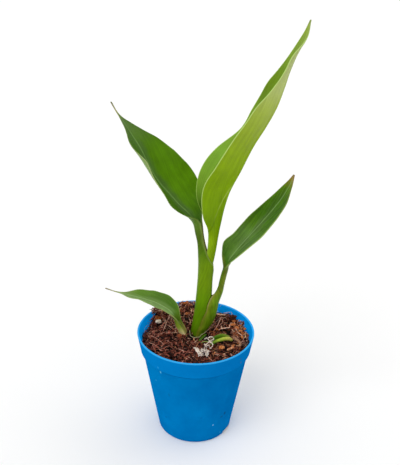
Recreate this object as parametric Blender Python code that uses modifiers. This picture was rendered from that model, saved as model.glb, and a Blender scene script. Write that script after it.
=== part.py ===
"""A young bird of paradise in its six centimetre nursery pot.

The plant is a fan of four leaves that clasp one another at the foot, with the stub of an older
leaf, white feeder roots and a perlite grain lying on a coarse coir mix.  Lengths in the tables
are millimetres.  The origin is the centre of the pot's underside, +Z is up, and -Y is the front.
"""

import math
from collections import namedtuple

import bmesh
import bpy
import numpy as np
from mathutils import Matrix, Vector, noise
from mathutils.bvhtree import BVHTree

MM = 0.001
MERGE = 0.01 * MM

# The pot is a thin tapered cup with a wider band below its lip
RIM_RADIUS = 30.0
POT_HEIGHT = 57.0
BAND_RADIUS = 28.4
BAND_BOTTOM = 47.2
BODY_RADIUS = 27.2
BODY_TOP = 46.4
BASE_RADIUS = 19.4
BASE_ROUND = 1.0
FLOOR_FILLET = 1.0
FLOOR = 1.2
WALL = 0.9
INSIDE_HEIGHTS = (1.2, 47.2, 48.1, 57.0)
INSIDE_RADII = (18.8, 26.35, 27.6, 29.1)
POT_SIDES = 72
DRAIN_ANGLES = (60.0, 240.0)
DRAIN_WIDTH = 6.0
DRAIN_HEIGHT = 1.8
DRAIN_DEPTH = 5.0

# The coir mix fills the pot.  It is heaped against the wall behind the plant, higher at the
# right and hollow before the foot: each mound is its centre, height and reach.
GAP = 0.3
SOIL_LEVEL = 51.0
SOIL_CORNER = 1.4
SOIL_RINGS = 13
SOIL_SIDES = 60
MOUNDS = (
    (-7.0, 27.0, 5.3, 8.5),
    (-20.5, 20.0, 5.5, 5.0),
    (20.0, 19.0, 2.3, 7.0),
    (5.0, 4.5, -1.6, 5.0),
)
LUMP_HEIGHT = 0.9
LUMP_SIZE = 4.5
CRUMB_HEIGHT = 0.45
CRUMB_SIZE = 2.1

# The plain holes that the stems stand in: centre, half widths, floor
CLUMP_HOLE = (1.3, 7.8, 4.3, 4.4, 39.0)
LOW_HOLE = (-6.4, 5.3, 2.5, 2.6, 44.0)
STUB_HOLE = (3.9, -4.7, 1.3, 1.3, 46.0)
HOLE_TOP = 60.0
HOLE_SIDES = 32

# A leaf is lofted over stations along its midrib: the place, then each half's width, the lift of
# its chord above the level across the midrib, its curl, and the thickness at midrib and margin.
# The near half faces the front.  A curl of 170 degrees closes the foot into a sheath.  The rings
# of the clump's tapering foot stay level up to LEVEL_HEIGHT and follow the midrib above.
Station = namedtuple(
    "Station",
    "x y z near near_lift near_curl far far_lift far_curl back edge",
)

TALL_LEAF = (
    Station(1.2, 7.8, 39.3, 0.9, 60, 120, 0.9, 60, 120, 1.1, 0.8),
    Station(1.2, 7.8, 50.2, 0.9, 60, 120, 0.9, 60, 120, 1.1, 0.8),
    Station(2.0, 8.1, 53.6, 1.0, 60, 120, 1.0, 60, 120, 1.3, 1.0),
    Station(2.9, 8.8, 57.0, 1.15, 60, 120, 1.15, 60, 120, 1.7, 1.4),
    Station(3.8, 9.2, 62.0, 1.2, 60, 120, 1.2, 60, 120, 1.8, 1.5),
    Station(4.4, 9.1, 74.0, 1.1, 60, 120, 1.1, 60, 120, 1.7, 1.4),
    Station(5.0, 8.9, 86.0, 1.1, 60, 120, 1.1, 60, 120, 1.7, 1.4),
    Station(5.9, 8.8, 92.0, 1.1, 60, 120, 1.1, 60, 120, 1.7, 1.4),
    Station(6.9, 8.6, 98.0, 1.1, 60, 120, 1.1, 60, 120, 1.7, 1.4),
    Station(8.1, 8.0, 105.5, 1.4, 60, 120, 1.6, 60, 120, 1.8, 1.5),
    Station(9.3, 7.1, 112.0, 4.0, 50, 80, 5.0, 76, 80, 1.7, 1.1),
    Station(10.8, 6.0, 119.4, 10.0, 45, 40, 11.5, 80, 40, 1.6, 0.7),
    Station(13.9, 4.2, 131.5, 14.5, 54, 30, 17.3, 66, 30, 1.3, 0.6),
    Station(18.7, 2.2, 143.1, 16.3, 46, 25, 18.6, 45, 25, 1.2, 0.6),
    Station(24.7, 1.0, 155.6, 16.8, 37, 20, 17.8, 23, 20, 1.1, 0.6),
    Station(30.3, 0.3, 164.8, 16.0, 40, 20, 16.3, 26, 20, 1.0, 0.6),
    Station(34.5, 0.0, 173.5, 14.3, 47, 20, 14.3, 30, 20, 0.9, 0.6),
    Station(37.3, 0.3, 182.4, 12.0, 42, 20, 12.0, 28, 20, 0.8, 0.6),
    Station(39.5, 1.0, 190.4, 9.3, 30, 15, 9.5, 13, 15, 0.8, 0.6),
    Station(42.5, 2.0, 198.4, 6.5, 13, 15, 6.5, 5, 15, 0.7, 0.6),
    Station(45.2, 3.0, 204.2, 4.0, 5, 15, 4.0, 8, 15, 0.6, 0.6),
    Station(46.6, 4.0, 210.4, 0.5, 5, 15, 0.5, 5, 15, 0.6, 0.6),
)
LEFT_LEAF = (
    Station(-0.7, 7.8, 39.3, 5.6, 85, 170, 5.6, 85, 170, 1.6, 0.7),
    Station(-0.7, 7.8, 50.2, 5.6, 85, 170, 5.6, 85, 170, 1.6, 0.7),
    Station(-0.3, 8.1, 53.6, 6.9, 85, 170, 6.9, 85, 170, 1.7, 0.7),
    Station(0.3, 8.8, 57.0, 8.0, 85, 170, 8.0, 85, 170, 1.8, 0.7),
    Station(1.0, 9.2, 62.0, 8.1, 85, 170, 8.1, 85, 170, 1.7, 0.7),
    Station(1.8, 9.1, 74.0, 7.6, 85, 170, 7.6, 85, 170, 1.5, 0.7),
    Station(2.3, 8.9, 84.0, 7.5, 85, 170, 7.5, 85, 170, 1.5, 0.7),
    Station(2.4, 8.9, 88.0, 7.5, 78, 156, 7.5, 78, 156, 1.5, 0.7),
    Station(2.4, 8.8, 92.0, 6.9, 63, 126, 6.9, 63, 126, 1.5, 0.7),
    Station(2.4, 8.8, 95.5, 5.0, 52, 104, 5.0, 52, 104, 1.5, 0.8),
    Station(2.4, 8.8, 99.0, 2.8, 50, 100, 2.8, 50, 100, 1.6, 1.0),
    Station(2.3, 8.8, 103.0, 1.0, 55, 110, 1.0, 55, 110, 1.5, 1.2),
    Station(1.4, 8.9, 108.0, 1.0, 55, 110, 1.0, 55, 110, 1.5, 1.2),
    Station(-0.3, 9.6, 112.6, 2.0, 35, 80, 3.0, 45, 80, 1.4, 0.8),
    Station(-3.6, 10.8, 116.6, 8.0, 5, 40, 9.0, 48, 50, 1.3, 0.6),
    Station(-8.6, 13.0, 120.7, 13.0, 3, 30, 15.0, 44, 30, 1.2, 0.6),
    Station(-14.0, 15.5, 125.8, 15.0, 9, 30, 17.5, 50, 25, 1.1, 0.6),
    Station(-19.8, 18.0, 131.3, 15.5, 14, 40, 18.0, 55, 25, 1.0, 0.6),
    Station(-25.2, 21.5, 139.4, 13.5, 13, 60, 16.5, 52, 25, 0.9, 0.6),
    Station(-29.4, 24.5, 147.4, 10.5, 0, 30, 12.0, 37, 20, 0.8, 0.6),
    Station(-33.0, 27.0, 152.2, 7.0, 2, 20, 8.5, 26, 20, 0.7, 0.6),
    Station(-36.0, 28.6, 156.6, 3.8, 3, 20, 5.0, 15, 20, 0.6, 0.6),
    Station(-39.4, 30.5, 161.0, 0.6, 3, 20, 0.6, 10, 20, 0.6, 0.6),
    Station(-43.3, 32.5, 167.3, 0.3, 3, 20, 0.3, 3, 20, 0.6, 0.6),
)
RIGHT_LEAF = (
    Station(4.2, 7.8, 39.3, 6.1, 53, 107, 6.1, 53, 107, 1.0, 0.7),
    Station(4.2, 7.8, 50.4, 6.1, 53, 107, 6.1, 53, 107, 1.0, 0.7),
    Station(4.9, 8.0, 52.6, 6.5, 53, 107, 6.5, 53, 107, 1.0, 0.7),
    Station(6.5, 8.3, 54.8, 7.4, 53, 107, 7.4, 53, 107, 1.1, 0.7),
    Station(7.7, 8.8, 56.8, 8.0, 53, 107, 8.0, 53, 107, 1.2, 0.7),
    Station(8.5, 9.2, 59.2, 8.2, 53, 107, 8.2, 53, 107, 1.3, 0.7),
    Station(9.6, 9.2, 64.5, 6.6, 48, 96, 6.6, 48, 96, 1.3, 0.7),
    Station(10.4, 8.9, 69.0, 6.0, 49, 98, 5.6, 49, 98, 1.3, 0.7),
    Station(10.9, 8.7, 72.0, 4.6, 58, 112, 3.6, 58, 112, 1.3, 0.7),
    Station(11.4, 8.4, 75.0, 2.6, 59, 110, 1.6, 59, 110, 1.4, 0.8),
    Station(12.3, 8.1, 78.5, 0.9, 50, 100, 0.9, 50, 100, 1.4, 1.0),
    Station(13.8, 7.5, 85.0, 0.8, 50, 100, 0.8, 50, 100, 1.3, 1.0),
    Station(14.3, 7.1, 88.6, 0.9, 40, 90, 1.2, 45, 90, 1.2, 0.8),
    Station(15.0, 7.1, 91.4, 2.4, 15, 60, 3.6, 45, 60, 1.1, 0.6),
    Station(16.6, 7.4, 94.2, 5.0, 4, 30, 8.0, 27, 20, 1.1, 0.6),
    Station(18.6, 8.2, 96.7, 7.5, 1, 20, 10.0, 30, 20, 1.1, 0.6),
    Station(23.4, 10.5, 102.3, 9.5, -5, 15, 11.0, 17, 15, 1.0, 0.6),
    Station(27.9, 12.8, 106.7, 10.0, -9, 15, 11.0, 18, 15, 0.9, 0.6),
    Station(32.0, 15.0, 110.8, 9.5, -10, 15, 10.5, 20, 15, 0.9, 0.6),
    Station(36.8, 17.8, 115.7, 8.5, -11, 15, 9.0, 20, 15, 0.8, 0.6),
    Station(41.7, 20.3, 121.5, 6.5, -9, 15, 7.0, 17, 15, 0.7, 0.6),
    Station(45.0, 22.2, 127.0, 4.0, 0, 10, 4.0, 13, 10, 0.6, 0.6),
    Station(47.4, 24.0, 133.2, 0.4, 0, 10, 0.4, 5, 10, 0.6, 0.6),
)
LOW_LEAF = (
    Station(-6.0, 5.3, 44.3, 1.1, 50, 100, 1.1, 50, 100, 1.8, 1.4),
    Station(-6.0, 5.3, 51.0, 1.1, 50, 100, 1.1, 50, 100, 1.8, 1.4),
    Station(-6.5, 5.2, 53.2, 1.1, 50, 100, 1.1, 50, 100, 1.7, 1.3),
    Station(-8.0, 5.0, 56.5, 0.9, 50, 100, 0.9, 50, 100, 1.4, 1.1),
    Station(-10.2, 4.9, 61.3, 2.0, 10, 80, 3.0, 55, 60, 1.1, 0.6),
    Station(-13.4, 6.0, 64.2, 4.0, -2, 30, 6.0, 38, 40, 1.0, 0.6),
    Station(-17.0, 8.0, 65.6, 5.0, -5, 20, 7.0, 45, 30, 1.0, 0.6),
    Station(-21.8, 10.0, 67.1, 6.0, 0, 20, 7.0, 35, 25, 0.9, 0.6),
    Station(-26.3, 11.5, 67.7, 6.0, 5, 20, 7.0, 31, 20, 0.9, 0.6),
    Station(-30.2, 13.0, 68.0, 5.5, 4, 20, 6.0, 31, 20, 0.8, 0.6),
    Station(-35.0, 14.5, 68.4, 4.0, 0, 20, 4.0, 25, 20, 0.7, 0.6),
    Station(-39.4, 16.0, 68.7, 1.8, 6, 20, 1.8, 6, 20, 0.6, 0.6),
    Station(-42.1, 17.0, 68.9, 0.5, 0, 10, 0.5, 0, 10, 0.6, 0.6),
    Station(-48.5, 19.0, 70.2, 0.3, 0, 10, 0.3, 0, 10, 0.6, 0.6),
)
OLD_STUB = (
    Station(3.9, -4.6, 46.4, 0.5, -30, -60, 0.5, 30, 60, 0.8, 0.6),
    Station(3.9, -4.6, 50.6, 0.5, -30, -60, 0.5, 30, 60, 0.8, 0.6),
    Station(5.2, -4.5, 51.9, 0.5, -30, -60, 0.5, 30, 60, 0.8, 0.6),
    Station(7.4, -4.6, 52.3, 0.7, -30, -80, 0.7, 30, 50, 0.8, 0.6),
    Station(9.1, -5.2, 53.6, 2.4, -30, -110, 1.9, 35, 30, 0.9, 0.6),
    Station(11.1, -3.9, 54.2, 3.2, -30, -120, 2.7, 35, 30, 0.9, 0.6),
    Station(13.0, -2.3, 54.3, 3.3, -30, -120, 2.2, 35, 30, 0.9, 0.6),
    Station(15.1, -1.2, 54.3, 3.3, -30, -120, 1.5, 35, 30, 0.9, 0.6),
    Station(17.2, -0.7, 54.2, 3.0, -30, -120, 1.0, 30, 30, 0.9, 0.6),
    Station(18.9, -1.6, 53.7, 1.8, -30, -100, 0.7, 20, 30, 0.8, 0.6),
    Station(20.7, -2.6, 53.0, 1.1, -20, -60, 0.6, 10, 30, 0.7, 0.6),
    Station(22.6, -4.1, 52.6, 0.5, -10, -30, 0.5, 5, 30, 0.6, 0.6),
)
LEAN_LEFT = (1.0, 0.0, 1.0)
LEAN_RIGHT = (-1.0, 0.0, 1.0)
LEAN_UP = (0.0, 0.3, 1.0)
ROWS_BETWEEN = 1
HALF_COLUMNS = 6
LEVEL_HEIGHT = 58.0
LEVEL_BLEND = 8.0

# What lies on the mix: white feeder roots, a pale root round the plant's foot, a perlite grain
ROOT_CLEARANCE = 0.6
ROOTLET_RADIUS = 0.5
ROOTLETS = (
    ((-0.8, -7.9, 0.0), (0.8, -11.0, 0.0), (2.1, -14.0, 0.0), (2.6, -16.1, 0.0)),
    ((2.1, -14.0, 0.0), (3.8, -12.2, 0.0), (5.6, -11.3, 0.0), (6.0, -13.4, 0.0), (5.8, -16.0, 0.0)),
    ((5.6, -11.3, 0.0), (4.8, -8.6, 0.0), (4.0, -7.0, 0.0)),
    ((3.8, -12.2, 0.0), (2.5, -9.6, 0.0), (1.8, -7.0, 0.0)),
    ((5.6, -11.3, 0.0), (6.6, -8.6, 0.0), (6.8, -5.7, 53.4), (7.0, -2.9, 53.2), (5.8, -1.2, 0.0)),
    ((7.0, -2.9, 53.2), (8.6, -1.6, 0.0), (8.7, 0.1, 0.0)),
    ((6.6, -8.6, 0.0), (8.1, -9.2, 0.0), (7.8, -11.2, 0.0)),
)
PALE_ROOT_RADIUS = 0.28
PALE_ROOT = (
    (-3.4, 4.4, 0.0), (-2.4, 3.2, 0.0), (-0.8, 2.8, 0.0), (0.9, 3.0, 0.0), (2.6, 3.4, 51.4),
    (4.5, 4.0, 52.5), (6.5, 5.2, 53.8), (8.2, 6.6, 55.0), (9.7, 8.2, 55.8), (11.0, 9.5, 56.5),
    (12.6, 11.2, 57.4),
)
GRAIN_PLACE = (-19.9, 11.6)
GRAIN_SIZE = (3.4, 2.4, 2.0)
GRAIN_KNOBS = 0.25


def clear_scene():
    for item in list(bpy.data.objects):
        bpy.data.objects.remove(item, do_unlink=True)


def collection(name):
    made = bpy.data.collections.new(name)
    bpy.context.scene.collection.children.link(made)
    return made


def material(name, colour, roughness):
    made = bpy.data.materials.new(name)
    made.use_nodes = True
    shader = made.node_tree.nodes["Principled BSDF"]
    shader.inputs["Base Color"].default_value = (*colour, 1.0)
    shader.inputs["Roughness"].default_value = roughness
    shader.inputs["Metallic"].default_value = 0.0
    made.diffuse_color = (*colour, 1.0)
    return made


def place(name, mesh, group, finish):
    thing = bpy.data.objects.new(name, mesh)
    group.objects.link(thing)
    if finish is not None:
        mesh.materials.append(finish)
    return thing


def smooth_rows(keys, places):
    """Rows of keys (run, values...) read at places, smooth and through every row."""
    run = keys[:, 0]
    rows = keys[:, 1:]
    step = np.diff(run)
    slope = np.diff(rows, axis=0) / step[:, None]
    tangent = np.empty_like(rows)
    tangent[0] = slope[0]
    tangent[-1] = slope[-1]
    both = (step[1:] + step[:-1])[:, None]
    tangent[1:-1] = (slope[:-1] * step[1:, None] + slope[1:] * step[:-1, None]) / both
    index = np.clip(np.searchsorted(run, places, side="right") - 1, 0, len(step) - 1)
    width = step[index][:, None]
    u = (places - run[index])[:, None] / width
    start = (2 * u**3 - 3 * u**2 + 1) * rows[index] + (u**3 - 2 * u**2 + u) * width * tangent[index]
    end = (3 * u**2 - 2 * u**3) * rows[index + 1] + (u**3 - u**2) * width * tangent[index + 1]
    return start + end


def midrib_frames(route, lean, level):
    """Along the midrib: the way across towards the front, and the way the upper face looks."""
    along = np.gradient(route, axis=0)
    along /= np.linalg.norm(along, axis=1)[:, None]
    free = np.clip((route[:, 2] - level) / LEVEL_BLEND, 0.0, 1.0)[:, None]
    along = free * along + (1 - free) * np.array((0.0, 0.0, 1.0))
    along /= np.linalg.norm(along, axis=1)[:, None]
    upper = np.array(lean) - (along @ np.array(lean))[:, None] * along
    upper /= np.linalg.norm(upper, axis=1)[:, None]
    across = np.cross(along, upper)
    across *= np.where(across[:, 1] > 0, -1.0, 1.0)[:, None]
    return across, upper


def half_blade(route, across, upper, width, lift, curl, back, edge, columns):
    """One half's upper face and back, as rows of points from the midrib to the margin."""
    lift = np.radians(lift)[:, None]
    curl = np.radians(curl)[:, None]
    u = np.linspace(0.0, 1.0, columns + 1)[None, :]
    start = lift - curl / 2
    angle = start + curl * u
    out = width[:, None] / curl * (np.sin(angle) - np.sin(start))
    rise = width[:, None] / curl * (np.cos(start) - np.cos(angle))
    face = route[:, None] + out[..., None] * across[:, None] + rise[..., None] * upper[:, None]
    normal = np.cos(angle)[..., None] * upper[:, None] - np.sin(angle)[..., None] * across[:, None]
    thick = edge[:, None] + (back - edge)[:, None] * (1 - u) ** 1.5
    return face, face - thick[..., None] * normal


def leaf_rings(stations, lean, level, between, columns):
    """Closed rings of points round the leaf, with rows at its stations and between them."""
    keys = np.array(stations)
    steps = np.linalg.norm(np.diff(keys[:, :3], axis=0), axis=1)
    run = np.concatenate(([0.0], np.cumsum(steps)))
    rows = np.linspace(0, len(run) - 1, (len(run) - 1) * (between + 1) + 1)
    places = np.interp(rows, np.arange(len(run)), run)
    read = smooth_rows(np.column_stack((run, keys)), places)
    at = Station(*read.T)
    route = read[:, :3]
    across, upper = midrib_frames(route, lean, level)
    near, near_back = half_blade(
        route, across, upper, at.near, at.near_lift, at.near_curl, at.back, at.edge, columns
    )
    far, far_back = half_blade(
        route, -across, upper, at.far, at.far_lift, at.far_curl, at.back, at.edge, columns
    )
    return np.concatenate(
        (near[:, ::-1], far[:, 1:], far_back[:, ::-1], near_back[:, 1:]), axis=1
    )


def surface(name, points, faces):
    """A smooth-shaded mesh from points in millimetres, with its faces turned outwards."""
    mesh = bpy.data.meshes.new(name)
    mesh.from_pydata([tuple(point * MM) for point in points], [], faces)
    shell = bmesh.new()
    shell.from_mesh(mesh)
    bmesh.ops.recalc_face_normals(shell, faces=shell.faces)
    shell.to_mesh(mesh)
    shell.free()
    mesh.shade_smooth()
    return mesh


def leaf(name, stations, lean, level, group, finish):
    """A closed leaf: the rings' upper and back faces are split into triangles alike."""
    rings = leaf_rings(stations, lean, level, ROWS_BETWEEN, HALF_COLUMNS)
    count, size = rings.shape[:2]
    half = size // 2
    faces = []
    for row in range(count - 1):
        for side in range(size):
            a = row * size + side
            b = row * size + (side + 1) % size
            c, d = b + size, a + size
            faces += [(a, b, c), (a, c, d)] if side < half else [(a, b, d), (b, c, d)]
    for first in (0, (count - 1) * size):
        for step in range(half - 1):
            a, b = first + step, first + step + 1
            c, d = first + size - 2 - step, first + size - 1 - step
            faces += [(a, b, d), (b, c, d)]
    return place(name, surface(name, rings.reshape(-1, 3), faces), group, finish)


def inside_radius(z):
    """The pot's inside radius at a height."""
    return float(np.interp(z, INSIDE_HEIGHTS, INSIDE_RADII))


def arc(centre_x, centre_z, radius, first, last, steps):
    """Points of an arc in the section's plane, from one angle in degrees to another."""
    angles = [math.radians(first + (last - first) * step / steps) for step in range(steps + 1)]
    return [(centre_x + radius * math.cos(a), centre_z + radius * math.sin(a)) for a in angles]


def pot_profile():
    """Half section of the pot, from the middle of its floor over the lip to its underside."""
    lip = WALL / 2
    profile = [(0.0, FLOOR), (INSIDE_RADII[0] - FLOOR_FILLET, FLOOR)]
    profile += [(inside_radius(FLOOR + FLOOR_FILLET), FLOOR + FLOOR_FILLET)]
    profile += list(zip(INSIDE_RADII[1:-1], INSIDE_HEIGHTS[1:-1]))
    profile += arc(RIM_RADIUS - lip, POT_HEIGHT - lip, lip, 180, 0, 6)
    profile += [(BAND_RADIUS, BAND_BOTTOM), (BODY_RADIUS, BODY_TOP)]
    profile += arc(BASE_RADIUS - BASE_ROUND, BASE_ROUND, BASE_ROUND, 0, -90, 4)
    return profile + [(0.0, 0.0)]


def turned(name, profile, sides, group, finish):
    mesh = bpy.data.meshes.new(name)
    points = [(x * MM, 0.0, z * MM) for x, z in profile]
    mesh.from_pydata(points, [(i, i + 1) for i in range(len(points) - 1)], [])
    thing = place(name, mesh, group, finish)
    screw = thing.modifiers.new("turn", "SCREW")
    screw.steps = sides
    screw.render_steps = sides
    screw.use_merge_vertices = True
    screw.merge_threshold = MERGE
    screw.use_smooth_shade = True
    return thing


def cutter(name, mesh, group):
    thing = place(name, mesh, group, None)
    thing.hide_render = True
    thing.display_type = "WIRE"
    return thing


def cut(thing, tool):
    change = thing.modifiers.new(tool.name, "BOOLEAN")
    change.operation = "DIFFERENCE"
    change.solver = "EXACT"
    change.object = tool


def box_mesh(name, size):
    mesh = bpy.data.meshes.new(name)
    shape = bmesh.new()
    bmesh.ops.create_cube(shape, size=1.0, matrix=Matrix.Diagonal((*(Vector(size) * MM), 1.0)))
    shape.to_mesh(mesh)
    shape.free()
    return mesh


def pot(group, cutters, finish):
    """The cup, with drain notches cut through the corner of its base."""
    cup = turned("pot", pot_profile(), POT_SIDES, group, finish)
    for number, degrees in enumerate(DRAIN_ANGLES):
        mesh = box_mesh(f"drain_{number}", (DRAIN_WIDTH, DRAIN_DEPTH * 2, DRAIN_HEIGHT * 2))
        notch = cutter(f"drain_{number}", mesh, cutters)
        turn = math.radians(degrees)
        notch.location = Vector((math.sin(turn), -math.cos(turn), 0.0)) * BASE_RADIUS * MM
        notch.rotation_euler = (0.0, 0.0, turn)
        cut(cup, notch)
    return cup


def bump(x, y, shape):
    """A round rise or dip: its centre, height and reach."""
    centre_x, centre_y, height, reach = shape
    far = ((x - centre_x) ** 2 + (y - centre_y) ** 2) / (2 * reach**2)
    return height * math.exp(-far)


def soil_height(x, y):
    """The mix's surface: its level and mounds, lumpy all over."""
    lumps = LUMP_HEIGHT * noise.noise(Vector((x, y, 0.0)) / LUMP_SIZE)
    crumbs = CRUMB_HEIGHT * noise.noise(Vector((x, y, 0.0)) / CRUMB_SIZE)
    mounds = sum(bump(x, y, shape) for shape in MOUNDS)
    return SOIL_LEVEL + mounds + lumps + crumbs


def soil_rings():
    """Rings of the mix from under its floor edge, up the pot's wall and in to the middle."""
    angles = [2 * math.pi * side / SOIL_SIDES for side in range(SOIL_SIDES)]
    floor = FLOOR + GAP
    outline = [(INSIDE_RADII[0] - GAP - SOIL_CORNER, floor)]
    outline += [(inside_radius(floor + SOIL_CORNER) - GAP, floor + SOIL_CORNER)]
    outline += [(r - GAP, z + GAP) for r, z in zip(INSIDE_RADII[1:-1], INSIDE_HEIGHTS[1:-1])]
    rings = [[(r * math.cos(a), r * math.sin(a), z) for a in angles] for r, z in outline]
    rim = inside_radius(SOIL_LEVEL) - GAP
    for step in range(SOIL_RINGS):
        share = 1 - step / SOIL_RINGS
        ring = []
        for a in angles:
            x, y = rim * share * math.cos(a), rim * share * math.sin(a)
            z = soil_height(x, y)
            spread = (inside_radius(z) - GAP) / rim if step == 0 else 1.0
            ring.append((x * spread, y * spread, z))
        rings.append(ring)
    return rings


def soil(group, cutters, finish):
    rings = soil_rings()
    points = [Vector(point) for ring in rings for point in ring]
    faces = []
    for row in range(len(rings) - 1):
        for side in range(SOIL_SIDES):
            a = row * SOIL_SIDES + side
            b = row * SOIL_SIDES + (side + 1) % SOIL_SIDES
            c, d = b + SOIL_SIDES, a + SOIL_SIDES
            faces += [(a, b, c), (a, c, d)]
    last = (len(rings) - 1) * SOIL_SIDES
    points.append(Vector((0.0, 0.0, FLOOR + GAP)))
    points.append(Vector((0.0, 0.0, soil_height(0.0, 0.0))))
    for side in range(SOIL_SIDES):
        following = (side + 1) % SOIL_SIDES
        faces.append((following, side, len(points) - 2))
        faces.append((last + side, last + following, len(points) - 1))
    mix = place("soil", surface("soil", points, faces), group, finish)
    for name, hole in (("clump", CLUMP_HOLE), ("low", LOW_HOLE), ("stub", STUB_HOLE)):
        cut(mix, cutter(f"{name}_hole", hole_mesh(f"{name}_hole", hole), cutters))
    return mix


def hole_mesh(name, hole):
    centre_x, centre_y, half_x, half_y, floor = hole
    shape = bmesh.new()
    bmesh.ops.create_cone(
        shape, cap_ends=True, segments=HOLE_SIDES, radius1=1.0, radius2=1.0, depth=HOLE_TOP - floor
    )
    grow = Matrix.Diagonal((half_x, half_y, 1.0, 1.0))
    shift = Matrix.Translation((centre_x, centre_y, (HOLE_TOP + floor) / 2))
    bmesh.ops.transform(shape, matrix=Matrix.Scale(MM, 4) @ shift @ grow, verts=shape.verts)
    mesh = bpy.data.meshes.new(name)
    shape.to_mesh(mesh)
    shape.free()
    return mesh


def ground(tree, x, y, reach):
    """The highest point of the mix within reach of a place, in millimetres."""
    heights = []
    for side in range(8):
        turn = math.pi * side / 4
        for share in (0.0, 0.5, 1.0):
            out = Vector((math.cos(turn), math.sin(turn), 0.0)) * reach * share
            start = Vector((x, y, HOLE_TOP)) + out
            hit = tree.ray_cast(start * MM, Vector((0.0, 0.0, -1.0)))[0]
            heights.append(hit.z / MM)
    return max(heights)


def resting_route(tree, places, radius):
    """Points of a thin root through places with least heights, kept clear above the mix."""
    keys = np.array(places)
    count = np.arange(len(keys))
    steps = np.linspace(0.0, len(keys) - 1, (len(keys) - 1) * 3 + 1)
    flat = smooth_rows(np.column_stack((count, keys[:, :2])), steps)
    least = np.interp(steps, count, keys[:, 2])
    route = []
    for (x, y), low in zip(flat, least):
        clear = ground(tree, x, y, radius + ROOT_CLEARANCE) + radius + GAP
        route.append(Vector((x, y, max(clear, low))))
    return route


def root_mesh(name, route, radius):
    """A closed tube along a route, its caps welded."""
    curve = bpy.data.curves.new(name, "CURVE")
    curve.dimensions = "3D"
    curve.bevel_depth = radius * MM
    curve.bevel_resolution = 1
    curve.use_fill_caps = True
    line = curve.splines.new("POLY")
    line.points.add(len(route) - 1)
    for point, spot in zip(line.points, route):
        point.co = (*(spot * MM), 1.0)
    guide = bpy.data.objects.new(name, curve)
    bpy.context.scene.collection.objects.link(guide)
    seen = guide.evaluated_get(bpy.context.evaluated_depsgraph_get())
    mesh = bpy.data.meshes.new_from_object(seen)
    bpy.data.objects.remove(guide, do_unlink=True)
    shape = bmesh.new()
    shape.from_mesh(mesh)
    bmesh.ops.remove_doubles(shape, verts=shape.verts, dist=MERGE)
    shape.to_mesh(mesh)
    shape.free()
    mesh.materials.clear()
    return mesh


def rootlets(tree, group, finish):
    """White feeder roots: the strands of the first, with the others joined to it."""
    meshes = []
    for number, strand in enumerate(ROOTLETS):
        route = resting_route(tree, strand, ROOTLET_RADIUS)
        meshes.append(root_mesh(f"strand_{number}", route, ROOTLET_RADIUS))
    whole = place("white_rootlets", meshes[0], group, finish)
    strands = collection("strands")
    for mesh in meshes[1:]:
        place(mesh.name, mesh, strands, None)
    join = whole.modifiers.new("join", "BOOLEAN")
    join.operation = "UNION"
    join.solver = "EXACT"
    join.operand_type = "COLLECTION"
    join.collection = strands
    settle(whole)
    for strand in list(strands.objects):
        bpy.data.objects.remove(strand, do_unlink=True)
    bpy.data.collections.remove(strands)
    return whole


def settle(thing):
    """Applies a thing's modifiers to its mesh."""
    seen = thing.evaluated_get(bpy.context.evaluated_depsgraph_get())
    mesh = bpy.data.meshes.new_from_object(seen)
    thing.modifiers.clear()
    thing.data = mesh


def pale_root(tree, group, finish):
    route = resting_route(tree, PALE_ROOT, PALE_ROOT_RADIUS)
    return place("pale_root", root_mesh("pale_root", route, PALE_ROOT_RADIUS), group, finish)


def grain(tree, group, finish):
    """A rounded perlite grain with knobbly sides."""
    shape = bmesh.new()
    bmesh.ops.create_icosphere(shape, subdivisions=3, radius=0.5)
    for vert in shape.verts:
        vert.co *= 1.0 + GRAIN_KNOBS * noise.noise(vert.co * 3)
    size = Vector(GRAIN_SIZE)
    x, y = GRAIN_PLACE
    low = ground(tree, x, y, size.x / 2)
    middle = Vector((x, y, low + GAP + size.z / 2 * (1 + GRAIN_KNOBS)))
    for vert in shape.verts:
        vert.co = (middle + vert.co * size) * MM
    mesh = bpy.data.meshes.new("perlite_grain")
    shape.to_mesh(mesh)
    shape.free()
    mesh.shade_smooth()
    return place("perlite_grain", mesh, group, finish)


def main():
    clear_scene()
    plant = collection("potted_bird_of_paradise")
    cutters = collection("cutters")
    young = material("young_leaf", (0.20, 0.36, 0.01), 0.42)
    mature = material("mature_leaf", (0.06, 0.19, 0.01), 0.38)
    pot(plant, cutters, material("blue_plastic", (0.0, 0.17, 0.55), 0.45))
    mix = soil(plant, cutters, material("coir_mix", (0.09, 0.03, 0.015), 0.95))
    leaf("tall_leaf", TALL_LEAF, LEAN_RIGHT, LEVEL_HEIGHT, plant, young)
    leaf("left_leaf", LEFT_LEAF, LEAN_LEFT, LEVEL_HEIGHT, plant, mature)
    leaf("right_leaf", RIGHT_LEAF, LEAN_RIGHT, LEVEL_HEIGHT, plant, mature)
    leaf("low_leaf", LOW_LEAF, LEAN_LEFT, FLOOR, plant, mature)
    leaf("old_leaf_stub", OLD_STUB, LEAN_UP, FLOOR, plant, young)
    tree = BVHTree.FromPolygons(
        [vert.co for vert in mix.data.vertices], [tuple(face.vertices) for face in mix.data.polygons]
    )
    rootlets(tree, plant, material("white_root", (0.75, 0.70, 0.62), 0.7))
    pale_root(tree, plant, material("pale_root", (0.50, 0.42, 0.28), 0.7))
    grain(tree, plant, material("perlite", (0.75, 0.70, 0.62), 0.9))


main()
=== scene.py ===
"""A young bird of paradise in its six centimetre nursery pot.

Four leaves clasp one another at the foot, in a coarse coir mix with the stub of an older leaf,
white feeder roots and a perlite grain.  Lengths are millimetres, apart from those of the stage.
The origin is the centre of the pot's underside, +Z is up, and -Y is the front.
"""

import math
from collections import namedtuple

import bmesh
import bpy
import numpy as np
from mathutils import Matrix, Vector, noise
from mathutils.bvhtree import BVHTree


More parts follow.
